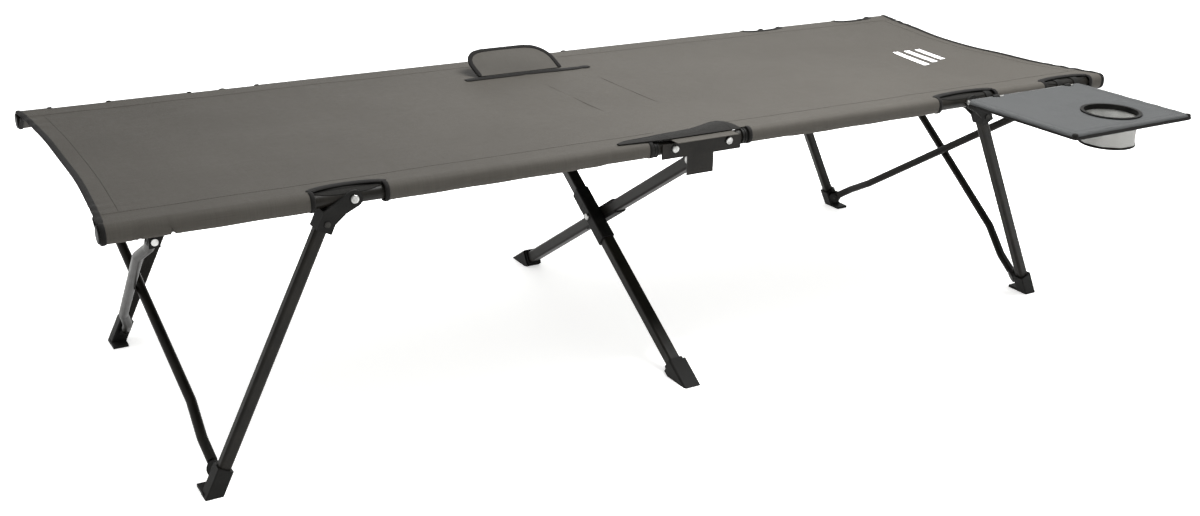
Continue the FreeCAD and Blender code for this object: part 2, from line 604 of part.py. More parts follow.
def boot():
    """Moulded foot: a socket for the leg and a slotted lobe for the brace."""
    top_s = LEG_SOLE_S - BOOT_LENGTH
    half_y = LEG_TUBE / 2 + BOOT_WALL_Y
    body = rounded_bar(2 * half_y, 2 * BOOT_SIDE, BOOT_LENGTH * 2, BOOT_CORNER)
    body.Placement = frame_at(leg_point(top_s), LEG_DOWN, Vec(0, 1, 0))
    pin = brace_pin()
    half = BRACE_AXIS * LOBE_HALF
    lobe = rod(pin - half, pin + half, LOBE_R)
    sole = leg_point(LEG_SOLE_S)
    reach_x = BOOT_SIDE / math.sin(GAMMA) - SKIRT_INSET
    skirt = block(sole.x - reach_x, sole.x + reach_x, BRACE_Y - LOBE_R + 1, LEG_Y,
                  0, BOOT_FLANGE)
    outer = skirt.fuse([body, lobe])
    floor = block(0, BED_LENGTH, -RAIL_SPACING, RAIL_SPACING, -BOOT_LENGTH * 2, 0)
    outer = outer.cut(floor).cut(leg_core())
    slot_half = TONGUE / 2 + CLEAR
    slot_round = TONGUE_WIDTH / 2 + TONGUE_SLOT_GAP
    offset = BRACE_AXIS * slot_half
    outer = outer.cut(rod(pin - offset, pin + offset, slot_round))
    reach = BOOT_LENGTH
    sweeps = (OPEN_WAY, (OPEN_WAY + CLOSED_WAY).normalize(), CLOSED_WAY)
    for way in sweeps:
        side = BRACE_AXIS.cross(way).normalize() * slot_round
        corners = [pin - offset + side, pin - offset - side,
                   pin - offset - side + way * reach, pin - offset + side + way * reach]
        outer = outer.cut(plate(corners, offset * 2))
    for way in sweeps:
        tube_start = pin + way * (LOBE_R + CLEAR)
        outer = outer.cut(rod(tube_start, tube_start + way * reach, BRACE_R + CLEAR))
    outer = outer.cut(rod(pin - half * 2, pin + half * 2, PIN_R))
    return max(outer.Solids, key=lambda solid: solid.Volume)


def leg_pins():
    """Cross pins: the brace pin in the foot, and the rivet through the elbow."""
    pin = brace_pin()
    half = BRACE_AXIS * LOBE_HALF
    lower = rod(pin - half, pin + half, PIN_R)
    middle = leg_point((ELBOW_START + ELBOW_SOCKET + ELBOW_END) / 2)
    edge_out = Vec(middle.x, RAIL_Y + ELBOW_OUT, middle.z)
    edge_in = Vec(middle.x, RAIL_Y - ELBOW_OUT, middle.z)
    rise = Vec(0, RIVET_T, 0)
    out_head = rod(edge_out, edge_out + rise, PIN_R + RIVET_LIP)
    in_head = rod(edge_in, edge_in - rise, PIN_R + RIVET_LIP)
    return Part.makeCompound([lower, out_head, in_head])


# ---------------------------------------------------------------- braces (+X +Y corner)
def brace(jog_sign):
    pin = brace_pin()
    top = brace_top()
    length = (top - pin).Length
    aside = BRACE_AXIS * (-jog_sign * BRACE_JOG)
    stops = (TONGUE_BASE, JOG_START, JOG_START + JOG_RUN,
             length - JOG_START - JOG_RUN, length - JOG_START, length - TONGUE_BASE)
    shifts = (0, 0, 1, 1, 0, 0)
    points = [pin + OPEN_WAY * stop + aside * shift for stop, shift in zip(stops, shifts)]
    path = bent_path(points, JOG_BEND)
    tube = sweep(path, BRACE_R).cut(sweep(path, BRACE_R - BRACE_WALL))
    ends = []
    across = BRACE_AXIS.cross(OPEN_WAY).normalize() * (TONGUE_WIDTH / 2)
    thick = BRACE_AXIS * TONGUE
    for centre, way in ((pin, OPEN_WAY), (top, OPEN_WAY * -1)):
        base = centre - thick * 0.5
        eye = Part.makeCylinder(TONGUE_WIDTH / 2, TONGUE, base, BRACE_AXIS)
        strap = plate([base + across, base - across, base - across + way * TONGUE_LENGTH,
                       base + across + way * TONGUE_LENGTH], thick)
        plug = rod(centre + way * TONGUE_BASE, centre + way * TONGUE_LENGTH, BRACE_R)
        ends.append(merge([eye, strap, plug]))
    hole_r = PIN_R + RUNNING
    ends[0] = ends[0].cut(rod(pin - thick, pin + thick, hole_r))
    slot_end = top + OPEN_WAY * -SLOT_LENGTH
    ends[1] = ends[1].cut(rod(top - thick, top + thick, hole_r))
    ends[1] = ends[1].cut(rod(slot_end - thick, slot_end + thick, hole_r))
    rise = BRACE_AXIS.cross(OPEN_WAY).normalize() * hole_r
    ends[1] = ends[1].cut(plate([top - thick + rise, top - thick - rise,
                                 slot_end - thick - rise, slot_end - thick + rise],
                                thick * 2))
    return merge([tube] + ends)


def swivel():
    """Clevis that hangs on the rail's stub and carries the brace's upper pin."""
    top = brace_top()
    inner = BRACE_AXIS * (TONGUE / 2 + CLEAR)
    outer = BRACE_AXIS * (TONGUE / 2 + CLEAR + SWIVEL_WALL)
    cheeks = [rod(top + inner, top + outer, SWIVEL_R), rod(top - outer, top - inner, SWIVEL_R)]
    web_y = -(BRACE_Y + SWIVEL_R)
    back_y = web_y - SWIVEL_FACE_T
    face = Part.makeCylinder(SWIVEL_R, SWIVEL_FACE_T, Vec(top.x, web_y, top.z), Vec(0, -1, 0))
    arms = []
    for start, end in ((inner, outer), (outer * -1, inner * -1)):
        side = OPEN_WAY.cross(BRACE_AXIS).normalize() * (SWIVEL_R * SWIVEL_ARM)
        base = top + start
        arm = plate([base + side, base - side, Vec((base - side).x, web_y, (base - side).z),
                     Vec((base + side).x, web_y, (base + side).z)], end - start)
        arms.append(arm)
    lug_face = -(LUG_INNER_Y - CLEAR)
    boss = rod(Vec(top.x, back_y, top.z), Vec(top.x, lug_face, top.z),
               SWIVEL_R - SWIVEL_BOSS_STEP)
    body = face.fuse(cheeks + arms + [boss])
    body = body.cut(rod(Vec(top.x, back_y, top.z), Vec(top.x, lug_face - 1, top.z),
                        PIN_R + RUNNING))
    clear_r = TONGUE_WIDTH / 2 + SWIVEL_MOUTH_GAP
    body = body.cut(rod(top - inner, top + inner, clear_r))
    body = body.cut(rod(top - outer, top + outer, PIN_R))
    pin = rod(top - outer, top + outer, PIN_R)
    body = max(body.Solids, key=lambda solid: solid.Volume)
    return Part.makeCompound([body, pin])


# ---------------------------------------------------------------- bed fabric
def sleeve_runs():
    """Stretches of a rail half that the fabric sleeve covers."""
    cuts = [(LEG_PIVOT_X - CUTOUT_HALF, LEG_PIVOT_X + CUTOUT_HALF),
            (CUTOUT_X - CUTOUT_HALF, CUTOUT_X + CUTOUT_HALF)]
    runs = []
    start = SLEEVE_START
    for low, high in cuts:
        runs.append((start, low))
        start = high
    runs.append((start, RAIL_END - HEM_INSET))
    return runs


def bed_half(end):
    solids = []
    x_low = CENTRE_SPLIT + CENTRE_GAP
    x_high = RAIL_END - HEM_INSET
    xs = sorted((end * x_low, end * x_high))
    solids.append(block(*xs, -RAIL_Y, RAIL_Y, PANEL_Z, PANEL_Z + PANEL_T))
    for side in (-1, 1):
        for low, high in sleeve_runs():
            start = Vec(end * low, side * RAIL_Y, RAIL_HEIGHT)
            stop = Vec(end * high, side * RAIL_Y, RAIL_HEIGHT)
            solids.append(ring(start, stop, SLEEVE_R, RAIL_R + SLEEVE_GAP))
    return Part.makeCompound(solids)


def bed_centre():
    return block(-CENTRE_SPLIT, CENTRE_SPLIT, -RAIL_Y, RAIL_Y, PANEL_Z, PANEL_Z + PANEL_T)


# ---------------------------------------------------------------- side table
def saddles():
    """Two half-round clips on the rail, each with the table's hinge eye and stop."""
    clips = []
    for x in (SADDLE_FIRST_X, SADDLE_SECOND_X):
        def at(dx, y=-RAIL_Y, z=RAIL_HEIGHT):
            return Vec(x + dx, y, z)
        half = SADDLE_LENGTH / 2
        shell = ring(at(-half), at(half), SLEEVE_R - SADDLE_SEAT, RAIL_R)
        keep = block(x - half, x + half, -RAIL_Y - SLEEVE_R, -RAIL_Y + SLEEVE_R,
                     RAIL_HEIGHT, RAIL_HEIGHT + SLEEVE_R)
        shell = shell.common(keep)
        eye_r = TABLE_ROD_R + SADDLE_EYE
        eye = rod(at(-half, TABLE_HINGE_Y, TABLE_HINGE_Z), at(half, TABLE_HINGE_Y, TABLE_HINGE_Z),
                  eye_r)
        arm = block(x - half, x + half, TABLE_HINGE_Y, -RAIL_Y - RAIL_R - SADDLE_SEAT,
                    TABLE_HINGE_Z - eye_r, TABLE_HINGE_Z - TABLE_ROD_R)
        shelf = block(x - half, x + half, TABLE_HINGE_Y - SADDLE_SHELF, TABLE_HINGE_Y,
                      TABLE_HINGE_Z - eye_r, TABLE_HINGE_Z - TABLE_ROD_R - STOP_SEAT)
        clip = merge([shell, eye, arm, shelf])
        clip = clip.cut(rod(at(-half - 1, TABLE_HINGE_Y, TABLE_HINGE_Z),
                            at(half + 1, TABLE_HINGE_Y, TABLE_HINGE_Z),
                            TABLE_ROD_R + RUNNING))
        clip = clip.cut(rod(at(-half - 1), at(half + 1), RAIL_R))
        clips.append(max(clip.Solids, key=lambda solid: solid.Volume))
    return Part.makeCompound(clips)


def table_corners():
    z = TABLE_HINGE_Z
    return (Vec(TABLE_NEAR_X, TABLE_HINGE_Y, z), Vec(TABLE_FAR_X, TABLE_HINGE_Y, z),
            Vec(TABLE_FAR_X, TABLE_OUT_Y, z), Vec(TABLE_NEAR_X, TABLE_OUT_Y, z))


def table_hinge_rod():
    near, far = table_corners()[:2]
    return rod(near, far, TABLE_ROD_R)


def table_outer_rod():
    far_out, near_out = table_corners()[2:]
    return rod(near_out, far_out, TABLE_ROD_R)


def table_side_rods():
    near, far, far_out, near_out = table_corners()
    gap = Vec(0, TABLE_ROD_R, 0)
    return Part.makeCompound([rod(near - gap, near_out + gap, TABLE_ROD_R),
                              rod(far - gap, far_out + gap, TABLE_ROD_R)])


def table_cloth():
    """Stiffened cloth top between the rods, notched round the two hinge clips."""
    edge = TABLE_ROD_R + CLOTH_EDGE
    z = TABLE_HINGE_Z - TABLE_CLOTH / 2
    top = block(TABLE_NEAR_X + edge, TABLE_FAR_X - edge, TABLE_OUT_Y + edge,
                TABLE_HINGE_Y - edge, z, z + TABLE_CLOTH)
    for x in (SADDLE_FIRST_X, SADDLE_SECOND_X):
        half = SADDLE_LENGTH / 2 + NOTCH_GAP
        top = top.cut(block(x - half, x + half, TABLE_HINGE_Y - NOTCH_DEPTH, TABLE_HINGE_Y,
                            z - TABLE_CLOTH, z + 2 * TABLE_CLOTH))
    hole = Part.makeCylinder(CUP_HOLE_R, 3 * TABLE_CLOTH, Vec(CUP_X, CUP_Y, z - TABLE_CLOTH))
    return top.cut(hole)


def cup_ring():
    z_top = CUP_TOP_Z + TABLE_CLOTH / 2
    z_low = CUP_TOP_Z - TABLE_CLOTH / 2 - CUP_SLEEVE
    lip = Part.makeCylinder(CUP_R + CUP_RING, CUP_LIP_T, Vec(CUP_X, CUP_Y, z_top))
    wall = Part.makeCylinder(CUP_HOLE_R, z_top - z_low, Vec(CUP_X, CUP_Y, z_low))
    bore = Part.makeCylinder(CUP_R, CUP_DEPTH, Vec(CUP_X, CUP_Y, z_low - 1))
    return merge([lip, wall]).cut(bore)


def cup_pouch():
    z_top = CUP_TOP_Z - TABLE_CLOTH / 2 - CUP_SLEEVE
    z_low = CUP_TOP_Z - CUP_DEPTH
    centre = Vec(CUP_X, CUP_Y, z_low)
    wall = Part.makeCylinder(CUP_POUCH_R, z_top - z_low, centre)
    return wall.cut(Part.makeCylinder(CUP_POUCH_R - CUP_WALL, z_top - z_low, centre))


def cup_floor():
    z_low = CUP_TOP_Z - CUP_DEPTH
    radius = CUP_POUCH_R - CUP_WALL - CUP_FLOOR_GAP
    return Part.makeCylinder(radius, CUP_FLOOR_T, Vec(CUP_X, CUP_Y, z_low))


# ---------------------------------------------------------------- bed pocket
def pocket():
    """D-shaped flap that stands on the bed beside the far rail."""
    half = POCKET_WIDTH / 2
    r = POCKET_ROUND
    corner = r * (1 - math.sqrt(0.5))
    points = [Vec(-half, 0, 0), Vec(half, 0, 0), Vec(half, POCKET_HEIGHT - r, 0),
              Vec(half - corner, POCKET_HEIGHT - corner, 0), Vec(half - r, POCKET_HEIGHT, 0),
              Vec(r - half, POCKET_HEIGHT, 0), Vec(corner - half, POCKET_HEIGHT - corner, 0),
              Vec(-half, POCKET_HEIGHT - r, 0)]
    edges = [Part.LineSegment(points[0], points[1]).toShape(),
             Part.LineSegment(points[1], points[2]).toShape(),
             Part.Arc(points[2], points[3], points[4]).toShape(),
             Part.LineSegment(points[4], points[5]).toShape(),
             Part.Arc(points[5], points[6], points[7]).toShape(),
             Part.LineSegment(points[7], points[0]).toShape()]
    flap = Part.Face(Part.Wire(edges)).extrude(Vec(0, 0, POCKET_T))
    lean = math.radians(POCKET_LEAN)
    base = Vec(POCKET_X, POCKET_Y, PANEL_Z + PANEL_T + POCKET_SEAT)
    normal = Vec(0, -math.sin(lean), math.cos(lean))
    flap.Placement = frame_at(base, normal, Vec(1, 0, 0))
    return flap


# ---------------------------------------------------------------- all nodes
def build():
    nodes = {
        "x_leg_a": x_leg(-1),
        "x_leg_b": x_leg(1),
        "x_foot_a": x_foot(-1),
        "x_foot_b": x_foot(1),
        "x_collar_a": x_collar(-1),
        "x_collar_b": x_collar(1),
        "x_hub_bolt": hub_bolt(),
        "bed_left": bed_half(-1),
        "bed_right": bed_half(1),
        "bed_centre": bed_centre(),
        "table_saddles": saddles(),
        "table_hinge_rod": table_hinge_rod(),
        "table_outer_rod": table_outer_rod(),
        "table_side_rods": table_side_rods(),
        "table_cloth": table_cloth(),
        "cup_ring": cup_ring(),
        "cup_pouch": cup_pouch(),
        "cup_floor": cup_floor(),
        "pocket": pocket(),
    }
    for side_name, side in SIDES.items():
        nodes["hinge_channel_" + side_name] = channel(side)
        nodes["hinge_bolts_" + side_name] = channel_fasteners(side)
        for end_name, end in ENDS.items():
            corner = side_name + "_" + end_name
            jog_sign = -side * end
            nodes["rail_" + corner] = mirrored(rail(), end, side)
            nodes["rail_fittings_" + corner] = mirrored(rail_fittings(), end, side)
            nodes["rail_bolts_" + corner] = mirrored(rail_bolts(), end, side)
            nodes["leg_" + corner] = mirrored(leg_tube(), end, side)
            nodes["leg_elbow_" + corner] = mirrored(elbow(), end, side)
            nodes["leg_boot_" + corner] = mirrored(boot(), end, side)
            nodes["leg_pins_" + corner] = mirrored(leg_pins(), end, side)
            nodes["brace_" + corner] = mirrored(brace(jog_sign), end, side)
            nodes["brace_swivel_" + corner] = mirrored(swivel(), end, side)
    return nodes


if __name__ == "__main__":
    os.makedirs("parts", exist_ok=True)
    for name, shape in build().items():
        shape.translate(Vec(0, BED_SHIFT, 0))
        shape.exportStep("parts/" + name + ".step")
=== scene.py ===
import json
import math
import random

import bpy
import numpy as np
from mathutils import Euler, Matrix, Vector


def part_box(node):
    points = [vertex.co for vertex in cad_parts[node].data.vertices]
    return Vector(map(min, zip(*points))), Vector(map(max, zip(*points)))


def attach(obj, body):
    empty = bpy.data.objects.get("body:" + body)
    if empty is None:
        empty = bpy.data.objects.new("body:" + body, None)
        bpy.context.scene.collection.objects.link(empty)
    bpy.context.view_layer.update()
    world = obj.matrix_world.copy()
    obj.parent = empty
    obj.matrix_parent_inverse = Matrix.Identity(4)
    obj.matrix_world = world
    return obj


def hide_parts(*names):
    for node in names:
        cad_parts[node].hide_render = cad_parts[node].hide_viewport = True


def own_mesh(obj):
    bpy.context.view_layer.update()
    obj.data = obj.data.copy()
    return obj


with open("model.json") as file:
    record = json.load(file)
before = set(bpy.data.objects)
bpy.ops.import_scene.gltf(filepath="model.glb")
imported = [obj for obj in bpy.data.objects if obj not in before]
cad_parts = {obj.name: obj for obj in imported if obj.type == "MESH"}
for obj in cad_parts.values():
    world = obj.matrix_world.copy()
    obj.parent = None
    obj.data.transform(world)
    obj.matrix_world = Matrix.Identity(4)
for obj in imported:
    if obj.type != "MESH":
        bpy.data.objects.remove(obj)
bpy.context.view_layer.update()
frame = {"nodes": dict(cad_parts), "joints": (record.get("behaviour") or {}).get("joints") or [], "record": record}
random.seed(7)

# ------------------------------------------------------------------ camera
LENS = 41.713
CAMERA_AT = (-1.2595, -1.9970, 1.0712)
CAMERA_TURN = (68.844, -1.043, -30.407)      # degrees about X, Y, Z

camera = bpy.data.objects.new("camera", bpy.data.cameras.new("camera"))
bpy.context.scene.collection.objects.link(camera)
camera.data.lens = LENS
camera.data.sensor_width = 36
camera.location = CAMERA_AT
camera.rotation_euler = Euler([math.radians(a) for a in CAMERA_TURN])
camera.data.clip_start = 0.05
camera.data.clip_end = 60
bpy.context.scene.camera = camera

# ------------------------------------------------------------------ places from the frame
joints = {j["name"]: j for j in frame["joints"]}


def middle(node):
    low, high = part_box(node)
    return (low + high) / 2


RAIL = middle("rail_near_right")
RAIL_Z = RAIL.z
Y_NEAR = RAIL.y
Y_FAR = middle("rail_far_right").y
Y_MID = (Y_NEAR + Y_FAR) / 2
HALF = (Y_FAR - Y_NEAR) / 2
RAIL_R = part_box("rail_near_right")[1].z - RAIL_Z
CLOTH = 0.0010                               # thickness of the bed's cloth
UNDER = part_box("bed_centre")[0].z            # where the cloth's underside lies
TOP = UNDER + CLOTH
SLEEVE_R = TOP - RAIL_Z
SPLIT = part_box("bed_centre")[1].x
END_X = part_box("bed_right")[1].x
HINGE_X = joints["near_right_fold"]["pos_m"][0]
LEG_X = joints["near_right_leg_fold"]["pos_m"][0]
BRACE_X = joints["near_right_swivel"]["pos_m"][0]
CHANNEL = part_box("hinge_channel_near")
SLEEVE_START = CHANNEL[1].x + 0.0200
NOTCH = 0.061                                # half length of the cut-back at a bracket
SAG = 0.005                                  # of the bed between its rails
GAP = 0.0004                                 # between the parts of a strip split at a hinge


# ------------------------------------------------------------------ materials
class Shader:
    """Short calls for building one material's nodes."""

    def __init__(self, name, **values):
        self.material = bpy.data.materials.new(name)
        self.material.use_nodes = True
        self.tree = self.material.node_tree
        self.bsdf = self.tree.nodes["Principled BSDF"]
        for socket, value in values.items():
            self.bsdf.inputs[socket.replace("_", " ")].default_value = value

    def node(self, kind, **values):
        made = self.tree.nodes.new("ShaderNode" + kind)
        for key, value in values.items():
            setattr(made, key, value)
        return made

    def join(self, out, into):
        self.tree.links.new(out, into)

    def flat(self):
        return self.node("UVMap", uv_map="flat").outputs[0]

    def place(self):
        return self.node("TexCoord").outputs["Object"]

    def scaled(self, vector, scale):
        mapping = self.node("Mapping")
        mapping.inputs["Scale"].default_value = scale
        self.join(vector, mapping.inputs["Vector"])
        return mapping.outputs[0]

    def noise(self, vector, scale, detail=3.0, rough=0.55):
        made = self.node("TexNoise")
        made.inputs["Scale"].default_value = scale
        made.inputs["Detail"].default_value = detail
        made.inputs["Roughness"].default_value = rough
        self.join(vector, made.inputs["Vector"])
        return made.outputs["Fac"]

    def math(self, operation, a, b=None, c=None):
        made = self.node("Math", operation=operation)
        for index, value in enumerate((a, b, c)):
            if value is None:
                continue
            if isinstance(value, (int, float)):
                made.inputs[index].default_value = value
            else:
                self.join(value, made.inputs[index])
        return made.outputs[0]

    def ramp(self, factor, low, high, colours):
        made = self.node("ValToRGB")
        steps = made.color_ramp
        steps.elements[0].position, steps.elements[1].position = low, high
        steps.elements[0].color = (*colours[0], 1)
        steps.elements[1].color = (*colours[1], 1)
        self.join(factor, made.inputs[0])
        return made.outputs[0]

    def between(self, factor, low, high):
        made = self.node("MapRange")
        made.inputs["To Min"].default_value = low
        made.inputs["To Max"].default_value = high
        self.join(factor, made.inputs["Value"])
        return made.outputs[0]

    def bump(self, height, distance, strength=1.0, below=None):
        made = self.node("Bump")
        made.inputs["Distance"].default_value = distance
        made.inputs["Strength"].default_value = strength
        self.join(height, made.inputs["Height"])
        if below is not None:
            self.join(below, made.inputs["Normal"])
        return made.outputs[0]

    def weave(self, vector, pitch):
        """Height of a plain weave: threads of the two directions take turns on top."""
        split = self.node("SeparateXYZ")
        self.join(vector, split.inputs[0])
        turn = math.pi / pitch
        across = self.math("SINE", self.math("MULTIPLY", split.outputs[0], turn))
        along = self.math("SINE", self.math("MULTIPLY", split.outputs[1], turn))
        turns = self.math("MULTIPLY", across, along)
        thread_u = self.math("ABSOLUTE", across)
        thread_v = self.math("ABSOLUTE", along)
        first = self.math("MULTIPLY", thread_u, self.math("MULTIPLY_ADD", turns, 0.5, 0.5))
        second = self.math("MULTIPLY", thread_v, self.math("MULTIPLY_ADD", turns, -0.5, 0.5))
        return self.math("ADD", first, second)


def woven(name, dark, light, pitch, sheen=0.25, rough=(0.50, 0.66), depth=0.00025, spec=0.4):
    s = Shader(name, Sheen_Weight=sheen, Sheen_Roughness=0.45, Specular_IOR_Level=spec)
    flat = s.flat()
    threads = s.weave(flat, pitch)
    slub_u = s.noise(s.scaled(flat, (12, 700, 1)), 1.0, 2.0)
    slub_v = s.noise(s.scaled(flat, (700, 12, 1)), 1.0, 2.0)
    cloud = s.noise(flat, 3.2, 4.0, 0.6)
    mottle = s.noise(flat, 60.0, 3.0, 0.6)
    mix = s.math("ADD", s.math("MULTIPLY", slub_u, 0.22), s.math("MULTIPLY", slub_v, 0.22))
    mix = s.math("ADD", mix, s.math("MULTIPLY", threads, 0.20))
    mix = s.math("ADD", mix, s.math("MULTIPLY", cloud, 0.22))
    mix = s.math("ADD", mix, s.math("MULTIPLY", mottle, 0.14))
    s.join(s.ramp(mix, 0.28, 0.72, (dark, light)), s.bsdf.inputs["Base Color"])
    s.join(s.between(mottle, *rough), s.bsdf.inputs["Roughness"])
    soft = s.bump(cloud, 0.0015, 0.35)
    s.join(s.bump(threads, depth, 0.8, soft), s.bsdf.inputs["Normal"])
    return s.material


def tape(name, colour, pitch):
    """Ribbed binding tape."""
    s = Shader(name, Sheen_Weight=0.02, Sheen_Roughness=0.5, Specular_IOR_Level=0.08)
    place = s.place()
    threads = s.weave(place, pitch)
    fuzz = s.noise(place, 420.0, 3.0)
    lighter = tuple(1.9 * c for c in colour)
    mix = s.math("ADD", s.math("MULTIPLY", threads, 0.4), s.math("MULTIPLY", fuzz, 0.6))
    s.join(s.ramp(mix, 0.25, 0.8, (colour, lighter)), s.bsdf.inputs["Base Color"])
    s.join(s.between(fuzz, 0.6, 0.85), s.bsdf.inputs["Roughness"])
    s.join(s.bump(mix, 0.0004, 0.8), s.bsdf.inputs["Normal"])
    return s.material


def netting():
    """Open mesh: pale crossing threads, with painted shade in the gaps between them for the shaded inside seen
    through the holes.
    """
    s = Shader("pouch_netting", Specular_IOR_Level=0.3)
    flat = s.flat()
    split = s.node("SeparateXYZ")
    s.join(flat, split.inputs[0])
    turn = math.pi / 0.0026
    sloped = s.math("ADD", split.outputs[0], split.outputs[1])
    across = s.math("SUBTRACT", split.outputs[0], split.outputs[1])
    first = s.math("ABSOLUTE", s.math("SINE", s.math("MULTIPLY", sloped, turn)))
    second = s.math("ABSOLUTE", s.math("SINE", s.math("MULTIPLY", across, turn)))
    gap = s.math("MULTIPLY", first, second)
    fuzz = s.noise(flat, 900.0, 2.0)
    mix = s.math("ADD", gap, s.math("MULTIPLY_ADD", fuzz, 0.3, -0.15))
    # painted shade: the gaps take a dark colour instead of being left open
    s.join(s.ramp(mix, 0.35, 0.70, ((0.40, 0.40, 0.385), (0.075, 0.074, 0.070))),
           s.bsdf.inputs["Base Color"])
    s.join(s.between(fuzz, 0.55, 0.75), s.bsdf.inputs["Roughness"])
    s.join(s.bump(s.math("SUBTRACT", 1.0, gap), 0.0005, 0.9), s.bsdf.inputs["Normal"])
    return s.material


def powder_coat():
    s = Shader("powder_coat", Specular_IOR_Level=0.09, Coat_Weight=0.02, Coat_Roughness=0.3)
    place = s.place()
    orange_peel = s.noise(place, 900.0, 2.0)
    scuffs = s.noise(place, 26.0, 5.0, 0.65)
    s.join(s.ramp(scuffs, 0.3, 0.75, ((0.0034, 0.0031, 0.0026), (0.0100, 0.0088, 0.0070))),
           s.bsdf.inputs["Base Color"])
    s.join(s.between(scuffs, 0.30, 0.46), s.bsdf.inputs["Roughness"])
    s.join(s.bump(orange_peel, 0.00008, 0.7), s.bsdf.inputs["Normal"])
    return s.material


def moulded():
    s = Shader("black_moulding", Specular_IOR_Level=0.07)
    place = s.place()
    grain = s.noise(place, 1500.0, 2.0)
    wear = s.noise(place, 45.0, 4.0, 0.6)
    s.join(s.ramp(wear, 0.3, 0.8, ((0.0036, 0.0036, 0.0033), (0.0090, 0.0088, 0.0082))),
           s.bsdf.inputs["Base Color"])
    s.join(s.between(wear, 0.40, 0.62), s.bsdf.inputs["Roughness"])
    s.join(s.bump(grain, 0.00012, 0.8), s.bsdf.inputs["Normal"])
    return s.material


def metal(name, dark, light, rough):
    s = Shader(name, Metallic=1.0)
    place = s.place()
    grain = s.noise(s.scaled(place, (60, 900, 900)), 1.0, 2.0)
    stain = s.noise(place, 90.0, 4.0)
    s.join(s.ramp(stain, 0.3, 0.75, (dark, light)), s.bsdf.inputs["Base Color"])
    s.join(s.between(grain, *rough), s.bsdf.inputs["Roughness"])
    s.join(s.bump(grain, 0.00003, 0.6), s.bsdf.inputs["Normal"])
    return s.material


MATERIAL = {
    "steel": powder_coat(),
    "moulding": moulded(),
    "zinc": metal("zinc", (0.17, 0.17, 0.165), (0.44, 0.44, 0.43), (0.24, 0.42)),
    "dark_pin": metal("dark_pin", (0.012, 0.012, 0.011), (0.035, 0.034, 0.032), (0.35, 0.5)),
    "rod": metal("bright_rod", (0.30, 0.30, 0.29), (0.55, 0.55, 0.54), (0.22, 0.38)),
    "bed": woven("bed_cloth", (0.0278, 0.0254, 0.0217), (0.0508, 0.0472, 0.0416), 0.00105,
                 0.0, spec=0.06),
    "table": woven("table_cloth", (0.0280, 0.0290, 0.0294), (0.0470, 0.0486, 0.0492), 0.00085,
                   0.0, spec=0.06),
    "pocket": woven("pocket_cloth", (0.0300, 0.0280, 0.0245), (0.0520, 0.0490, 0.0440), 0.00095,
                    0.0, spec=0.06),
    "tape": tape("black_tape", (0.0028, 0.0026, 0.0024), 0.0009),
    "flap": woven("black_vinyl", (0.0040, 0.0038, 0.0034), (0.0090, 0.0086, 0.0078), 0.0011,
                  0.0, spec=0.05),
    "thread": tape("grey_thread", (0.0300, 0.0280, 0.0245), 0.0004),
    "table_thread": tape("pale_thread", (0.0290, 0.0300, 0.0305), 0.0004),
    "print": tape("white_print", (0.42, 0.42, 0.42), 0.0008),
    "mesh": netting(),
}

# the frame's own nodes keep their shapes and take a detailed material
SLOT_LOOK = {
    "powder_coated_steel": "steel", "zinc_fasteners": "zinc", "bright_rod": "rod",
    "black_moulding": "moulding", "bed_cloth": "bed", "table_cloth": "table",
    "pocket_cloth": "pocket", "pouch_mesh": "mesh",
}
for part in frame["record"]["subparts"]:
    node = frame["nodes"][part["node"]]
    node.data.materials.clear()
    look = "dark_pin" if part["node"].startswith("leg_pins") else SLOT_LOOK[part["material_slot"]]
    node.data.materials.append(MATERIAL[look])

# ------------------------------------------------------------------ mesh helpers
def quads_of(ids, turned=False):
    quads = np.stack([ids[:-1, :-1], ids[1:, :-1], ids[1:, 1:], ids[:-1, 1:]], -1).reshape(-1, 4)
    return quads[:, ::-1] if turned else quads


def slab(sheet, thick, flat, away_from):
    """Closed thin cloth: an outer surface, and the same pushed in by its thickness."""
    rows, cols, _ = sheet.shape
    normal = np.cross(np.gradient(sheet, axis=0), np.gradient(sheet, axis=1))
    normal /= np.maximum(np.linalg.norm(normal, axis=2, keepdims=True), 1e-12)
    turned = float(np.sum(normal * (sheet - np.asarray(away_from)))) < 0
    if turned:
        normal = -normal
    inner = sheet - normal * thick
    count = rows * cols
    ids = np.arange(count).reshape(rows, cols)
    rim = np.concatenate([ids[0, :], ids[1:, -1], ids[-1, -2::-1], ids[-2:0:-1, 0]])
    after = np.roll(rim, -1)
    side = np.stack([rim, after, after + count, rim + count], -1)
    if turned:
        side = side[:, ::-1]
    faces = np.concatenate([quads_of(ids, turned), quads_of(ids + count, not turned), side])
    points = np.concatenate([sheet.reshape(-1, 3), inner.reshape(-1, 3)])
    return points, faces.tolist(), np.concatenate([flat.reshape(-1, 2)] * 2)


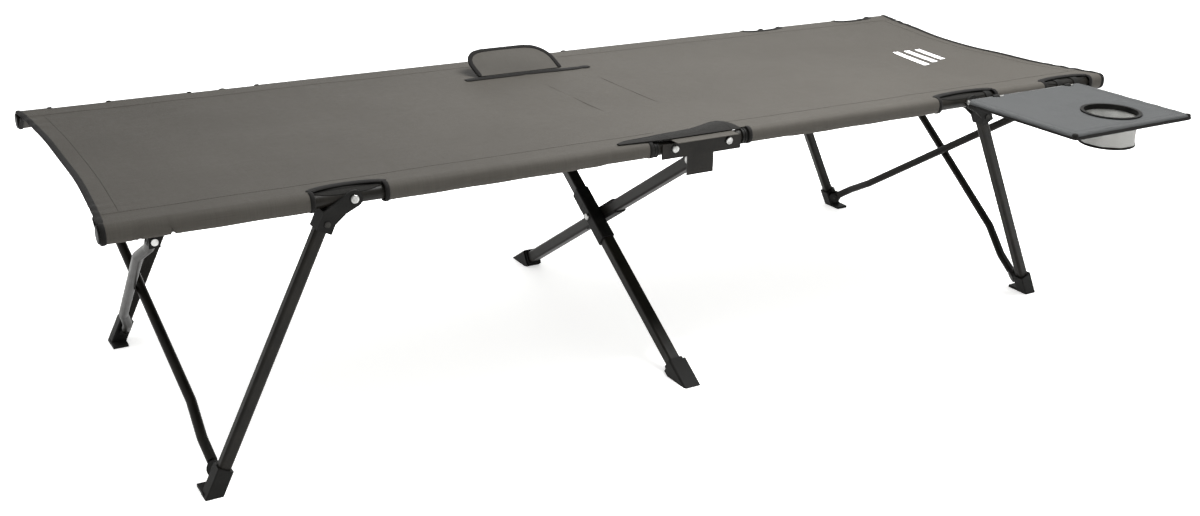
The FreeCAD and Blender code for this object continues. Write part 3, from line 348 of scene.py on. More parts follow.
def strip(path, wide, half_w, half_t, loop=False, sides=12, fullness=0.72):
    """Closed flattened cord along a path; wide points along its broader half."""
    path = np.asarray(path, dtype=float)
    count = len(path)
    wide = np.broadcast_to(np.asarray(wide, dtype=float), path.shape).copy()
    if loop:
        along = np.roll(path, -1, axis=0) - np.roll(path, 1, axis=0)
    else:
        along = np.gradient(path, axis=0)
    along /= np.linalg.norm(along, axis=1, keepdims=True)
    wide -= along * np.sum(wide * along, axis=1, keepdims=True)
    wide /= np.linalg.norm(wide, axis=1, keepdims=True)
    high = np.cross(along, wide)
    angle = np.linspace(0, 2 * math.pi, sides, endpoint=False)
    cos, sin = np.cos(angle), np.sin(angle)
    cos = np.sign(cos) * np.abs(cos) ** fullness
    sin = np.sign(sin) * np.abs(sin) ** fullness
    w = np.broadcast_to(np.asarray(half_w, dtype=float), (count,)).copy()
    t = np.broadcast_to(np.asarray(half_t, dtype=float), (count,)).copy()
    if not loop:
        w[[0, -1]] *= 0.72
        t[[0, -1]] *= 0.72
    points = (path[:, None] + wide[:, None] * (w[:, None] * cos)[..., None]
              + high[:, None] * (t[:, None] * sin)[..., None])
    ids = np.arange(count * sides).reshape(count, sides)
    ids = np.column_stack([ids, ids[:, :1]])
    if loop:
        ids = np.vstack([ids, ids[:1]])
    faces = quads_of(ids, True).tolist()
    if not loop:
        faces.append(list(range(sides))[::-1])
        faces.append([(count - 1) * sides + k for k in range(sides)])
    run = np.concatenate([[0], np.cumsum(np.linalg.norm(np.diff(path, axis=0), axis=1))])
    flat = np.stack([np.repeat(run, sides), np.tile(angle * 0.003, count)], -1)
    return points.reshape(-1, 3), faces, flat


def make(name, shells, look, body):
    """One object from closed shells, riding a body."""
    points, faces, flats, start = [], [], [], 0
    for shell_points, shell_faces, shell_flat in shells:
        points.append(shell_points)
        flats.append(shell_flat)
        faces.extend([[index + start for index in face] for face in shell_faces])
        start += len(shell_points)
    mesh = bpy.data.meshes.new(name)
    mesh.from_pydata(np.concatenate(points).tolist(), [], faces)
    mesh.materials.append(MATERIAL[look])
    layer = mesh.uv_layers.new(name="flat")
    index = np.empty(len(mesh.loops), dtype=np.int32)
    mesh.loops.foreach_get("vertex_index", index)
    uv = np.concatenate(flats).astype(np.float32)[index]
    layer.data.foreach_set("uv", uv.ravel())
    mesh.polygons.foreach_set("use_smooth", [True] * len(mesh.polygons))
    mesh.set_sharp_from_angle(angle=math.radians(50))
    mesh.update()
    piece = bpy.data.objects.new(name, mesh)
    bpy.context.scene.collection.objects.link(piece)
    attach(piece, body)
    return piece


def closing(piece):
    """Gives the cloth piece a mesh of its own; the cloth is not squashed here."""
    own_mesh(piece)
    return piece


WAVES = [(random.uniform(8, 60) * math.cos(turn), random.uniform(8, 60) * math.sin(turn),
          random.uniform(0, 6.28), random.uniform(0.6, 1.0))
         for turn in [random.uniform(0, 3.14) for _ in range(14)]]


def ripple(x, y, size):
    total = np.zeros(np.broadcast(x, y).shape)
    for wave_x, wave_y, phase, weight in WAVES:
        total = total + weight * np.sin(wave_x * x + wave_y * y + phase)
    return total * (size / len(WAVES) ** 0.5)


def ease(value):
    value = np.clip(value, 0, 1)
    return value * value * (3 - 2 * value)


# ------------------------------------------------------------------ bed cloth
SIDE_Y = {"near": Y_NEAR, "far": Y_FAR}
INWARD = {"near": 1, "far": -1}
END_SIGN = {"left": -1, "right": 1}
CUT_BACK = {
    ("near", "left"): [(LEG_X - 0.051, LEG_X + NOTCH)],
    ("near", "right"): [(LEG_X - 0.078, LEG_X + NOTCH), (BRACE_X - 0.0865, BRACE_X + 0.0355)],
    ("far", "right"): [(LEG_X - 0.055, LEG_X + 0.042), (BRACE_X - 0.0780, BRACE_X + 0.0190)],
    ("far", "left"): [(LEG_X - NOTCH, LEG_X + NOTCH), (BRACE_X - 0.0780, BRACE_X + 0.0190)],
}
CUT_DEPTH = {("near", "left"): 0.0150, ("near", "right"): 0.0135, ("far", "right"): 0.0135,
             ("far", "left"): 0.0}
HEM_BOW = {"left": 0.016, "right": 0.040}
BOW_START = 0.62
SEAM = 0.036                                 # sleeve's seam from the rail
HEM_SEAM = 0.028                             # hem's seam from its edge
HEM_STEP = 0.00015                           # doubled cloth over single
LINING_OUT = 0.0088                          # black lining past the rail's middle
BAND = 0.060                                 # straight rows start this far in


def recess(x, side, end):
    """Depth of the cut-backs in the bed's edge."""
    depth = np.zeros_like(x)
    for low, high in CUT_BACK[(side, end)]:
        t = (x - (low + high) / 2) / ((high - low) / 2)
        depth = np.maximum(depth, CUT_DEPTH[(side, end)] * np.clip(1 - t * t, 0, 1) ** 0.55)
    return depth


def bed_height(x, y):
    """Height of the bed's cloth where it hangs between the two rails."""
    u = (y - Y_MID) / HALF
    sag = SAG * np.clip(1 - u * u, 0, 1) ** 1.3
    free = np.clip(1 - u * u, 0, 1) ** 0.5
    to_hem = END_X - np.abs(x)
    corner = np.exp(-((np.abs(u) - 0.80) / 0.16) ** 2)
    pucker = 0.0009 * np.sin(y / 0.0052 + 2 * np.sin(y * 9)) * np.exp(-to_hem / 0.022) * corner
    pucker += 0.0012 * np.exp(-to_hem / 0.030) * np.sin(y * 21 + 1.1) * free
    return TOP - sag + ripple(x, y, 0.0011) * free + pucker


def bed_point(end, x, y, fall=0.0):
    """Point on the bed's top for a place along (x from the middle) and across the bed."""
    u = np.clip((y - Y_MID) / HALF, -1, 1)
    pull = HEM_BOW[end] * (1 - u * u) * np.clip((x - BOW_START) / (END_X - BOW_START), 0, 1) ** 1.6
    at_x = END_SIGN[end] * (x - pull)
    return np.stack(np.broadcast_arrays(at_x, y, bed_height(END_SIGN[end] * x, y) - fall), -1)


def bed_columns(end):
    xs = [np.arange(SPLIT, END_X, 0.0085), [END_X]]
    for cuts in (CUT_BACK[("near", end)], CUT_BACK[("far", end)]):
        for low, high in cuts:
            mid, half = (low + high) / 2, (high - low) / 2
            xs.append(mid - half * np.cos(np.linspace(0, math.pi, 25)))
    for line in (0.0, 0.002, 0.004):
        xs.append([END_X - HEM_SEAM + line])
    xs = np.unique(np.round(np.concatenate(xs), 5))
    return xs[np.concatenate([[True], np.diff(xs) > 0.0004])]


def bed_rows(low, high):
    """Rows across the bed: each edge band follows its cut-backs, the rest run straight."""
    steps = np.array([0, .08, .2, .34, .48, .57, .60, .63, .74, .87])
    near = low[None, :] + (Y_NEAR + BAND - low)[None, :] * steps[:, None]
    far = high[None, :] + (Y_FAR - BAND - high)[None, :] * steps[::-1, None]
    middle_rows = np.linspace(Y_NEAR + BAND, Y_FAR - BAND, 62)[:, None] * np.ones_like(low)
    return np.concatenate([near, middle_rows, far])


def stitches(points, ahead, size=(0.0017, 0.00042), lift=0.0001):
    """Little stitches at points, each lying along ahead."""
    shells = []
    for spot, way in zip(points, ahead):
        spot = np.asarray(spot) + (0, 0, lift)
        way = np.asarray(way) / np.linalg.norm(way)
        path = np.array([spot - way * size[0], spot - way * size[0] * .3,
                         spot + way * size[0] * .3, spot + way * size[0]])
        across = np.cross(way, (0, 0, 1))
        shells.append(strip(path, across, size[1], size[1] * 0.8, sides=6, fullness=1.0))
    return shells


def bed_half(end):
    sign = END_SIGN[end]
    body = "side_near_" + end
    columns = bed_columns(end)
    low = Y_NEAR + recess(columns, "near", end)
    high = Y_FAR - recess(columns, "far", end)
    ys = bed_rows(low, high)
    xs = np.broadcast_to(columns, ys.shape)
    sheet = bed_point(end, xs, ys)
    double = ease((SEAM - np.minimum(ys - Y_NEAR, Y_FAR - ys)) / 0.002 + 0.5)
    double = np.maximum(double, ease((HEM_SEAM - (END_X - xs)) / 0.002 + 0.5))
    sheet[..., 2] += HEM_STEP * (double - 1)
    flat = np.stack([sign * xs, ys], -1)
    panel = make("bed_cloth_" + end, [slab(sheet, CLOTH, flat, (sign * 0.5, Y_MID, -5))],
                 "bed", body)
    closing(panel)
    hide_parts("bed_" + end)

    for side in ("near", "far"):
        if CUT_DEPTH[(side, end)] == 0:
            continue
        lined = []
        for first, last in CUT_BACK[(side, end)]:
            x = (first + last) / 2 - (last - first - 0.008) / 2 * np.cos(np.linspace(0, math.pi, 30))
            back = recess(x, side, end) + 0.0065
            from_mid = (x - (first + last) / 2) * 2 / (last - first)
            front = -LINING_OUT * np.clip(1 - from_mid ** 4, 0, 1)
            share = np.linspace(0, 1, 16)[:, None]
            in_by = back + (front - back) * share
            y = SIDE_Y[side] + INWARD[side] * in_by
            cloth = bed_point(end, np.broadcast_to(x, y.shape), y, CLOTH + 0.00015)
            on_rail = RAIL_Z + np.sqrt((RAIL_R + 0.0009) ** 2 - np.clip(in_by, -0.0112, 0.004) ** 2)
            down = ease((RAIL_R + 0.0005 - in_by) / 0.0055)
            cloth[..., 2] += (on_rail - cloth[..., 2]) * down
            flat = cloth[..., :2].copy()
            lined.append(slab(cloth, 0.0006, flat, (sign * 0.5, Y_MID, -5)))
        make("bed_lining_" + side + "_" + end, lined, "flap", "side_" + side + "_" + end)

    edges = []
    hem_y = np.linspace(Y_NEAR, Y_FAR, 90)
    hem = bed_point(end, np.full(90, END_X), hem_y, CLOTH / 2)
    edges.append(strip(hem, (-sign, 0, 0), 0.0052, 0.0021))
    for side in ("near", "far"):
        if CUT_DEPTH[(side, end)] == 0:
            continue
        for first, last in CUT_BACK[(side, end)]:
            x = (first + last) / 2 - (last - first) / 2 * np.cos(np.linspace(0, math.pi, 34))
            y = SIDE_Y[side] + INWARD[side] * recess(x, side, end)
            edge = bed_point(end, x, y, CLOTH / 2)
            edges.append(strip(edge, (0, INWARD[side], 0), 0.0062, 0.0018))
    closing(make("bed_binding_" + end, edges, "tape", body))

    sewn = []
    for side in ("near", "far"):
        x = np.arange(SPLIT + 0.004, END_X - 0.008, 0.0046)
        y = np.full(len(x), SIDE_Y[side] + INWARD[side] * (SEAM + 0.0015))
        spots = bed_point(end, x, y)
        sewn += stitches(spots, np.broadcast_to((1.0, 0, 0), spots.shape))
    y = np.arange(Y_NEAR + SEAM + 0.006, Y_FAR - SEAM - 0.004, 0.0046)
    spots = bed_point(end, np.full(len(y), END_X - HEM_SEAM - 0.0015), y)
    sewn += stitches(spots, np.broadcast_to((0, 1.0, 0), spots.shape))
    closing(make("bed_seam_" + end, sewn, "thread", body))


bed_half("left")
bed_half("right")

# ------------------------------------------------------------------ sleeves over the rails
SQUARE = 2.7                                 # 2 would be a round section
SLEEVE_LOW = SLEEVE_R - 0.0014               # sleeve's depth below the rail's middle
FOOT_REST = (0.098, 0.176)                   # where a folded foot lies under the rail
FOOT_PRESS = 0.0018                          # and how far it presses the sleeve up


def sleeve_section(reach=1.0, count=34, below=SLEEVE_LOW):
    """Outline from the sleeve's top, round its outside and below, back up to its seam."""
    turn = np.linspace(math.pi / 2, math.pi * 1.53, 200)
    cos, sin = np.cos(turn), np.sin(turn)
    out = SLEEVE_R * np.sign(cos) * np.abs(cos) ** (2 / SQUARE)
    up = np.where(sin > 0, SLEEVE_R, below) * np.sign(sin) * np.abs(sin) ** (2 / SQUARE)
    out = np.append(out, SEAM)
    up = np.append(up, UNDER - RAIL_Z - 0.0007)
    run = np.concatenate([[0], np.cumsum(np.hypot(np.diff(out), np.diff(up)))])
    at = np.linspace(0, run[-1] * reach, count)
    return np.interp(at, run, out), np.interp(at, run, up), at


def sleeve(side, end, low, high, opening=None):
    """One length of sleeve; opening is the middle and half length of a slot below it."""
    name = "sleeve_" + side + "_" + end + "_" + str(int(low * 1000))
    sign, inward, rail_y = END_SIGN[end], INWARD[side], SIDE_Y[side]
    xs = np.linspace(low, high, max(6, int((high - low) / 0.007)))
    rows = []
    for x in xs:
        reach = 1.0
        if opening and abs(x - opening[0]) < opening[1]:
            reach = 1.0 - 0.52 * (1 - ((x - opening[0]) / opening[1]) ** 2) ** 0.4
        pressed = ease((x - FOOT_REST[0]) / 0.008 + 1) * ease((FOOT_REST[1] - x) / 0.02 + 1)
        out, up, at = sleeve_section(reach, below=SLEEVE_LOW - FOOT_PRESS * float(pressed))
        lower = np.clip((at - 0.012) / 0.02, 0, 1) * (at[-1] - at).clip(0, .02) / .02
        wave = 0.0003 * math.sin(sign * x * 60 + rail_y * 7) * (1 - float(pressed))
        grow = 1 + lower * wave / SLEEVE_R
        rows.append(np.stack([np.full(len(out), sign * x), rail_y + inward * out * grow,
                              RAIL_Z + up * grow], -1))
    sheet = np.array(rows)
    along, at = np.meshgrid(xs * sign, sleeve_section()[2], indexing="ij")
    flat = np.stack([along, rail_y - inward * at], -1)
    centre = (sign * (low + high) / 2, rail_y, RAIL_Z)
    body = "side_" + side + "_" + end
    cover = make(name, [slab(sheet, CLOTH * 0.9, flat, centre)], "bed", body)
    bound = [strip(sheet[row], (sign, 0, 0), 0.0036, 0.0014) for row in (0, -1)]
    edge = make(name + "_ends", bound, "tape", body)


for (side, end), cuts in CUT_BACK.items():
    start = SLEEVE_START
    for first, last in cuts:
        sleeve(side, end, start, first)
        start = last
    hidden = (BRACE_X, 0.026) if (side, end) == ("near", "left") else None
    sleeve(side, end, start, END_X, hidden)

# ------------------------------------------------------------------ strip over the hinges
COVER_OUT = CHANNEL[1].y - Y_NEAR            # outside of a channel from its rail
GUSSET_R = 0.0146
GUSSET_IN = 0.024                            # gusset's ends from the rails, open and closed


def centre_strip():
    xs = np.linspace(-SPLIT, SPLIT, 17)
    ys = np.concatenate([Y_NEAR - COVER_OUT * np.array([0.9, 0.5, 0]),
                         np.linspace(Y_NEAR + 0.01, Y_FAR - 0.01, 70),
                         Y_FAR + COVER_OUT * np.array([0, 0.5, 0.9, 1.05, 1.1])])
    grid_x, grid_y = np.meshgrid(xs, ys, indexing="ij")
    z = bed_height(grid_x, np.clip(grid_y, Y_NEAR, Y_FAR))
    in_band = np.minimum(grid_y - Y_NEAR, Y_FAR - grid_y)
    z += HEM_STEP * (ease((SEAM - in_band) / 0.002 + 0.5) - 1)
    z[:, -2:] -= (0.0012, 0.0040)
    sheet = np.stack([grid_x, grid_y, z], -1)
    flat = np.stack([grid_x, grid_y], -1)
    piece = make("bed_cloth_centre", [slab(sheet, CLOTH, flat, (0, Y_MID, -5))], "bed",
                 "hinge_near")
    closing(piece)
    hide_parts("bed_centre")
    inner = []
    for sign in (-1, 1):
        turn = np.radians(np.linspace(66, -18, 12))
        ys = np.linspace(Y_NEAR + GUSSET_IN, Y_FAR - GUSSET_IN, 40)
        grid_t, grid_y = np.meshgrid(turn, ys, indexing="ij")
        x = sign * (HINGE_X + GUSSET_R * np.cos(grid_t))
        z = RAIL_Z + GUSSET_R * np.sin(grid_t) - SAG * 0.6 * (1 - ((grid_y - Y_MID) / HALF) ** 2)
        sheet = np.stack([x, grid_y, z], -1)
        flat = np.stack([GUSSET_R * grid_t, grid_y], -1)
        inner.append(slab(sheet, CLOTH * 0.8, flat, (0, Y_MID, RAIL_Z - 0.2)))
    gusset = make("bed_gusset", inner, "bed", "hinge_near")
    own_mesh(gusset)


centre_strip()

# ------------------------------------------------------------------ black flap over the near hinge
FLAP_X = np.array([-0.153, -0.135, -0.110, -0.085, -0.060, -0.030, 0.0, 0.025, 0.045, 0.060,
                   0.068, 0.074, 0.078])     # along the rail
FLAP_IN = np.array([0.001, 0.010, 0.012, 0.014, 0.018, 0.020, 0.024, 0.032, 0.040, 0.043,
                    0.042, 0.034, 0.020])    # and the flap's reach over the bed there
FLAP_OUT = RAIL_R + 0.0006


def flap_part(name, low, high, body):
    xs = np.linspace(low, high, max(8, int((high - low) / 0.005)))
    inner = np.interp(xs, FLAP_X, FLAP_IN)
    outer = np.interp(xs, [FLAP_X[0], -0.100, -SPLIT], [0.004, 0.008, FLAP_OUT])
    share = np.linspace(0, 1, 14)
    rows = []
    for x, reach_in, reach_out in zip(xs, inner, outer):
        y = Y_NEAR - reach_out + (reach_in + reach_out) * share
        z = bed_height(np.full(14, x), np.maximum(y, Y_NEAR)) + 0.0021
        z = z + (0.0006 + 0.13 * max(reach_in - 0.012, 0)) * np.sin(math.pi * share) ** 0.8
        rows.append(np.stack([np.full(14, x), y, z], -1))
    sheet = np.array(rows)
    grid = np.stack([sheet[..., 0], sheet[..., 1]], -1)
    piece = make(name, [slab(sheet, 0.0012, grid, (0, Y_NEAR, -5))], "flap", body)
    closing(piece)
    edge = make(name + "_edge", [strip(sheet[:, -1] - (0, 0, 0.0006), (0, 1, 0), 0.0022, 0.0012)],
                "tape", body)
    closing(edge)


flap_part("hinge_flap_left", FLAP_X[0], -SPLIT - GAP, "side_near_left")
flap_part("hinge_flap_middle", -SPLIT, SPLIT, "hinge_near")
flap_part("hinge_flap_right", SPLIT + GAP, FLAP_X[-1], "side_near_right")

# ------------------------------------------------------------------ pocket on the bed
pocket_low, pocket_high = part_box("pocket")
POCKET_HALF = (pocket_high.x - pocket_low.x) / 2
POCKET_X = (pocket_high.x + pocket_low.x) / 2
seam = joints["pocket_tip"]["pos_m"]
POCKET_RISE = pocket_high.z - seam[2] - 0.002
POCKET_OUT = pocket_high.y - seam[1] - 0.001
POCKET_TALL = math.hypot(POCKET_RISE, POCKET_OUT)
ROUND = 0.040                                # radius of its upper corners
POCKET_SHIFT = 0.011                         # how far its top leans to the left
BASE = (-0.184, 0.080)                       # ends of the tape along its seam


def pocket_cloth():
    up = np.linspace(0, 1, 22)
    wide = np.linspace(-1, 1, 40)
    tall = POCKET_TALL - 0.003
    drop = np.clip(up * tall - (tall - ROUND), 0, ROUND)
    half = POCKET_HALF - 0.003 - ROUND + np.sqrt(np.clip(ROUND ** 2 - drop ** 2, 1e-7, None))
    v, w = np.meshgrid(up, wide, indexing="ij")
    across = w * half[:, None]
    belly = 0.007 * np.sin(math.pi * v) * (1 - w * w)
    lean_y, lean_z = POCKET_OUT / POCKET_TALL, POCKET_RISE / POCKET_TALL
    y = seam[1] + v * tall * lean_y - belly * lean_z
    z = seam[2] + 0.0008 + v * tall * lean_z + belly * lean_y
    sheet = np.stack([POCKET_X + across - POCKET_SHIFT * v, y, z], -1)
    flat = np.stack([across, v * tall], -1)
    piece = make("pocket_cloth", [slab(sheet, 0.0016, flat, (POCKET_X, seam[1] + 1, -1))],
                 "pocket", "pocket_flap")
    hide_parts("pocket")
    border = np.concatenate([sheet[:, 0], sheet[-1, 1:-1], sheet[::-1, -1]])
    centre = np.array([POCKET_X, *sheet[6, 20, 1:]])
    edge = make("pocket_binding", [strip(border, centre - border, 0.0046, 0.0021)], "tape",
                "pocket_flap")


pocket_cloth()


def base_part(name, low, high, body):
    xs = np.linspace(low, high, max(4, int((high - low) / 0.008)))
    y = np.full(len(xs), seam[1] - 0.006)
    z = bed_height(xs, y) + 0.0009
    make(name, [strip(np.stack([xs, y, z], -1), (0, 1, 0), 0.0085, 0.0011)], "tape", body)


base_part("pocket_base_left", BASE[0], -SPLIT - GAP, "side_far_left")
base_part("pocket_base_middle", -SPLIT, SPLIT, "hinge_far")
base_part("pocket_base_right", SPLIT + GAP, BASE[1], "side_far_right")

# ------------------------------------------------------------------ plain print on the right half
def stripe(x0, width, y0, y1, slant):
    along = np.linspace(0, 1, 24)
    y = y0 + (y1 - y0) * along
    rows = []
    for share in np.linspace(0, 1, 4):
        x = x0 + slant * along + width * share
        rows.append(bed_point("right", x, y, -0.0003))
    sheet = np.array(rows)
    return slab(sheet, 0.0003, sheet[..., :2].copy(), (0.5, Y_MID, -5))


PRINT_Y = Y_MID - 0.035
marks = [stripe(0.700 + 0.034 * k, 0.016, PRINT_Y - 0.058 + 0.010 * k, PRINT_Y + 0.058, 0.022)
         for k in range(3)]
closing(make("bed_print", marks, "print", "side_near_right"))

# ------------------------------------------------------------------ side table
hinge_low, hinge_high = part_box("table_hinge_rod")
outer_low, outer_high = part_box("table_outer_rod")
ROD_R = (hinge_high.z - hinge_low.z) / 2
TABLE_Z = (hinge_high.z + hinge_low.z) / 2
TABLE_X0, TABLE_X1 = hinge_low.x, hinge_high.x
TABLE_IN = (hinge_high.y + hinge_low.y) / 2
TABLE_OUT = (outer_high.y + outer_low.y) / 2
cup_low, cup_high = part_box("cup_ring")
CUP_X, CUP_Y = (cup_low.x + cup_high.x) / 2, (cup_low.y + cup_high.y) / 2
CUP_HOLE = (cup_high.x - cup_low.x) / 2 - 0.0035
saddle_low, saddle_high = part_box("table_saddles")
CLIPS = (saddle_low.x + 0.007, saddle_high.x - 0.007)
HEM_R = ROD_R + 0.0014
TABLE_SAG = 0.0022


def table_height(x, y):
    u = np.clip((x - TABLE_X0) / (TABLE_X1 - TABLE_X0), 0, 1)
    v = np.clip((y - TABLE_OUT) / (TABLE_IN - TABLE_OUT), 0, 1)
    dish = 16 * u * (1 - u) * v * (1 - v)
    near_cup = np.hypot(x - CUP_X, y - CUP_Y)
    at_ring = 1 - ease((near_cup - CUP_HOLE - 0.0060) / 0.022)
    height = HEM_R - TABLE_SAG * dish + ripple(3 * x, 3 * y, 0.0003)
    return TABLE_Z + height * (1 - at_ring) + 0.0006 * at_ring


def table_cloth():
    """Rings about the cup hole, out to the table's own outline."""
    low = np.array([TABLE_X0, TABLE_OUT])
    high = np.array([TABLE_X1, TABLE_IN - ROD_R - 0.0006])
    turn = np.linspace(0, 2 * math.pi, 145)
    corners = [math.atan2(cy - CUP_Y, cx - CUP_X) % (2 * math.pi)
               for cx in (low[0], high[0]) for cy in (low[1], high[1])]
    for corner in corners:
        turn[int(np.argmin(np.abs(turn - corner)))] = corner
    cos, sin = np.cos(turn), np.sin(turn)
    cos = np.where(np.abs(cos) < 1e-7, 1e-7, cos)
    sin = np.where(np.abs(sin) < 1e-7, 1e-7, sin)
    far = np.minimum(np.where(cos > 0, high[0] - CUP_X, low[0] - CUP_X) / cos,
                     np.where(sin > 0, high[1] - CUP_Y, low[1] - CUP_Y) / sin)
    share = np.linspace(0, 1, 40) ** 1.15
    reach = CUP_HOLE + (far[None] - CUP_HOLE) * share[:, None]
    x, y = CUP_X + reach * cos, CUP_Y + reach * sin
    for clip in CLIPS:
        near_clip = np.clip(1 - ((x - clip) / 0.0115) ** 4, 0, 1) ** 0.5
        limit = high[1] - 0.0095 * near_clip
        y = np.minimum(y, limit)
    z = table_height(x, y)
    z[0] = z[1]
    sheet = np.stack([x, y, z], -1)[:, :-1]
    rows, cols, _ = sheet.shape
    inner = sheet - (0, 0, 0.0012)
    count = rows * cols
    ids = np.arange(count).reshape(rows, cols)
    ids = np.column_stack([ids, ids[:, :1]])
    inside = np.stack([ids[0, 1:], ids[0, :-1], ids[0, :-1] + count, ids[0, 1:] + count], -1)
    outside = np.stack([ids[-1, :-1], ids[-1, 1:], ids[-1, 1:] + count, ids[-1, :-1] + count], -1)
    faces = np.concatenate([quads_of(ids), quads_of(ids + count, True),
                            inside[:, ::-1], outside[:, ::-1]])
    points = np.concatenate([sheet.reshape(-1, 3), inner.reshape(-1, 3)])
    flat = np.concatenate([sheet[..., :2].reshape(-1, 2)] * 2)
    piece = make("table_top", [(points, faces.tolist(), flat)], "table", "table")
    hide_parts("table_cloth")

    def hem(start, stop, inward):
        """Cloth rolled round a rod, open towards the table below."""
        start, stop, inward = (np.array(p, dtype=float) for p in (start, stop, inward))
        along = np.linspace(0, 1, 40)
        turn = np.linspace(0, 1.55 * math.pi, 16)
        axis = start + (stop - start) * along[:, None]
        radius = HEM_R + 0.0003 * np.sin(along * 37)[:, None, None]
        ring = (-inward * np.sin(turn)[:, None] + np.array([0, 0, 1.0]) * np.cos(turn)[:, None])
        sheet = axis[:, None] + ring[None] * radius
        run = np.linalg.norm(stop - start)
        grid = np.stack(np.meshgrid(along * run, turn * HEM_R, indexing="ij"), -1)
        return slab(sheet, 0.0009, grid, (start + stop) / 2)

    gap = 0.010
    z = TABLE_Z
    hems = [hem((TABLE_X0, TABLE_IN - gap, z), (TABLE_X0, TABLE_OUT, z), (1, 0, 0)),
            hem((TABLE_X1, TABLE_IN - gap, z), (TABLE_X1, TABLE_OUT, z), (-1, 0, 0)),
            hem((TABLE_X0, TABLE_OUT, z), (TABLE_X1, TABLE_OUT, z), (0, 1, 0))]
    rolled = make("table_hems", hems, "table", "table")
    piped = []
    low_z = z - HEM_R * 0.55
    out = HEM_R * 0.86
    for x in (TABLE_X0 - out, TABLE_X1 + out):
        side_y = np.linspace(TABLE_IN - gap, TABLE_OUT - out, 30)
        path = np.stack([np.full(30, x), side_y, np.full(30, low_z)], -1)
        piped.append(strip(path, (0, 0, 1), 0.0024, 0.0011))
    outer_x = np.linspace(TABLE_X0 - out, TABLE_X1 + out, 40)
    path = np.stack([outer_x, np.full(40, TABLE_OUT - out), np.full(40, low_z + 0.0004)], -1)
    piped.append(strip(path, (0, 0, 1), 0.0034, 0.0013))
    for x in (TABLE_X0, TABLE_X1):
        angle = np.linspace(0, 2 * math.pi, 16, endpoint=False)
        spot = np.stack([x + 0.0022 * np.cos(angle), TABLE_OUT + 0.0022 * np.sin(angle),
                         np.full(16, z)], -1)
        piped.append(strip(spot, (0, 0, 1), HEM_R + 0.0006, 0.0036, loop=True))
    piping = make("table_piping", piped, "tape", "table")
    sewn = []
    inset = HEM_R + 0.006
    for x in (TABLE_X0 + inset, TABLE_X1 - inset):
        y = np.arange(TABLE_OUT + inset, TABLE_IN - 0.012, 0.0042)
        spots = np.stack([np.full(len(y), x), y, table_height(x, y)], -1)
        sewn += stitches(spots, np.broadcast_to((0, 1.0, 0), spots.shape), (0.0014, 0.0004), 0.0001)
    x = np.arange(TABLE_X0 + inset, TABLE_X1 - inset, 0.0042)
    spots = np.stack([x, np.full(len(x), TABLE_OUT + inset), table_height(x, TABLE_OUT + inset)], -1)
    sewn += stitches(spots, np.broadcast_to((1.0, 0, 0), spots.shape), (0.0014, 0.0004), 0.0001)
    thread = make("table_seam", sewn, "table_thread", "table")


table_cloth()

# ------------------------------------------------------------------ cup pouch
pouch_low, pouch_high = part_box("cup_pouch")
POUCH_R = (pouch_high.x - pouch_low.x) / 2
POUCH_TOP, POUCH_LOW = pouch_high.z, pouch_low.z
SIDES, LEVELS = 96, 16                       # points round the pouch and down its wall


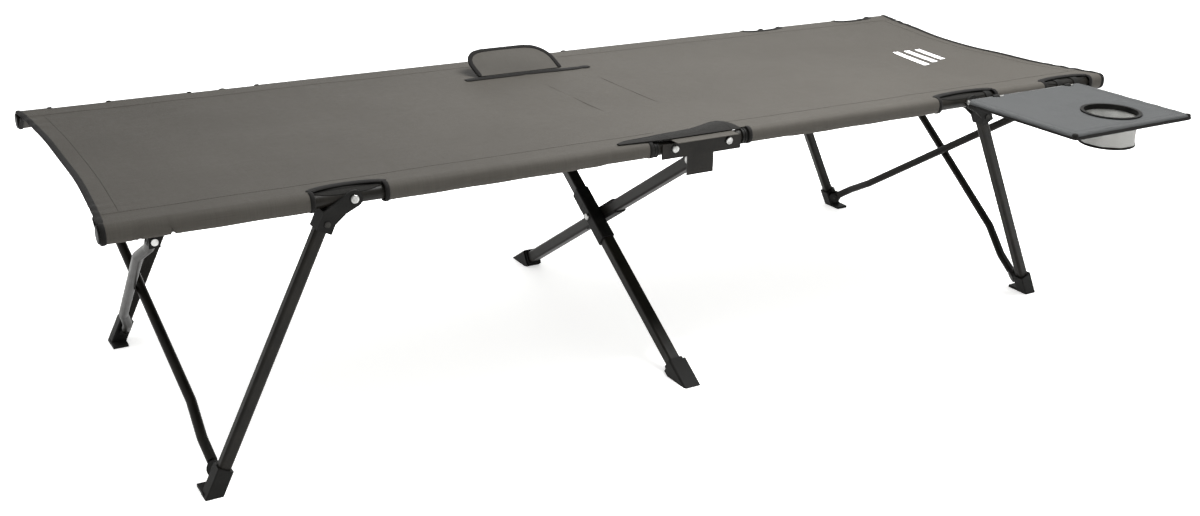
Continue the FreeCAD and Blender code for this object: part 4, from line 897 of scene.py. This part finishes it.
def cup_pieces():
    turn = np.linspace(0, 2 * math.pi, SIDES + 1)[:-1]
    up = np.linspace(0, 1, LEVELS)
    rows = []
    for share in up:
        fold = 0.0009 * np.sin(turn * 9) * math.sin(math.pi * share)
        radius = POUCH_R - 0.0004 - 0.0016 * math.sin(math.pi * share) + fold
        rows.append(np.stack([CUP_X + radius * np.cos(turn), CUP_Y + radius * np.sin(turn),
                              np.full(SIDES, POUCH_TOP + (POUCH_LOW - POUCH_TOP) * share)], -1))
    outer = np.array(rows)
    centre = np.array([CUP_X, CUP_Y, 0])
    way = (outer - centre) * (1, 1, 0)
    way /= np.linalg.norm(way, axis=2, keepdims=True)
    inner = outer - way * 0.0009
    count = LEVELS * SIDES
    ids = np.arange(count).reshape(LEVELS, SIDES)
    ids = np.column_stack([ids, ids[:, :1]])
    top = np.stack([ids[0, :-1], ids[0, 1:], ids[0, 1:] + count, ids[0, :-1] + count], -1)
    low = np.stack([ids[-1, 1:], ids[-1, :-1], ids[-1, :-1] + count, ids[-1, 1:] + count], -1)
    faces = np.concatenate([quads_of(ids), quads_of(ids + count, True), top, low])
    grid_t, grid_u = np.meshgrid(turn * POUCH_R, up * (POUCH_TOP - POUCH_LOW), indexing="ij")
    flat = np.stack([grid_t.T, grid_u.T], -1).reshape(-1, 2)
    points = np.concatenate([outer.reshape(-1, 3), inner.reshape(-1, 3)])
    wall = make("pouch_wall", [(points, faces.tolist(), np.concatenate([flat] * 2))], "mesh",
                "table")
    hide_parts("cup_pouch")
    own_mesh(wall)
    ring = np.linspace(0.0005, POUCH_R - 0.0030, 14)
    grid_r, grid_t = np.meshgrid(ring, turn, indexing="ij")
    floor_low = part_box("cup_floor")[0].z
    z = floor_low + 0.0016 + 0.0008 * np.cos(grid_r * 60)
    disc = np.stack([CUP_X + grid_r * np.cos(grid_t), CUP_Y + grid_r * np.sin(grid_t), z], -1)
    count = disc.shape[0] * SIDES
    ids = np.arange(count).reshape(-1, SIDES)
    ids = np.column_stack([ids, ids[:, :1]])
    rim_face = np.stack([ids[-1, 1:], ids[-1, :-1], ids[-1, :-1] + count, ids[-1, 1:] + count], -1)
    faces = np.concatenate([quads_of(ids), quads_of(ids + count, True), rim_face[:, ::-1]]).tolist()
    faces += [list(range(SIDES)), [count + k for k in range(SIDES)][::-1]]
    points = np.concatenate([disc.reshape(-1, 3), disc.reshape(-1, 3) - (0, 0, 0.0010)])
    flat = np.concatenate([disc[..., :2].reshape(-1, 2)] * 2)
    base = make("pouch_floor", [(points, faces, flat)], "mesh", "cup_bottom")
    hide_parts("cup_floor")
    circle = np.stack([CUP_X + (POUCH_R - 0.0021) * np.cos(turn),
                       CUP_Y + (POUCH_R - 0.0021) * np.sin(turn),
                       np.full(SIDES, floor_low + 0.0021)], -1)
    rim = make("pouch_rim", [strip(circle, (0, 0, 1), 0.0026, 0.0021, loop=True)], "tape",
               "cup_bottom")


cup_pieces()

# ------------------------------------------------------------------ studio
floor_mesh = bpy.data.meshes.new("floor")
SIDE = 14.0
floor_mesh.from_pydata([(-SIDE, -SIDE, 0), (SIDE, -SIDE, 0), (SIDE, SIDE, 0), (-SIDE, SIDE, 0)],
                       [], [(0, 1, 2, 3)])
floor = bpy.data.objects.new("floor", floor_mesh)
bpy.context.scene.collection.objects.link(floor)
paper = Shader("paper", Base_Color=(0.93, 0.93, 0.925, 1), Roughness=0.9,
               Emission_Color=(1, 1, 0.995, 1), Emission_Strength=0.52)
floor_mesh.materials.append(paper.material)

world = bpy.data.worlds.new("studio")
world.use_nodes = True
world.node_tree.nodes["Background"].inputs[0].default_value = (1, 1, 0.99, 1)
world.node_tree.nodes["Background"].inputs[1].default_value = 1.02
bpy.context.scene.world = world
bpy.context.scene.view_settings.view_transform = "Standard"


def softbox(name, place, target, size, watts):
    lamp = bpy.data.lights.new(name, "AREA")
    lamp.energy = watts
    lamp.shape = "RECTANGLE"
    lamp.size, lamp.size_y = size
    box = bpy.data.objects.new(name, lamp)
    bpy.context.scene.collection.objects.link(box)
    box.location = place
    box.rotation_euler = (Vector(target) - Vector(place)).to_track_quat("-Z", "Y").to_euler()


softbox("key", (0.60, -0.25, 2.05), (0.55, 0.0, 0.4), (1.2, 1.0), 110)
softbox("back", (1.3, 3.2, 1.9), (0.4, 0, 0.4), (2.6, 1.4), 16)
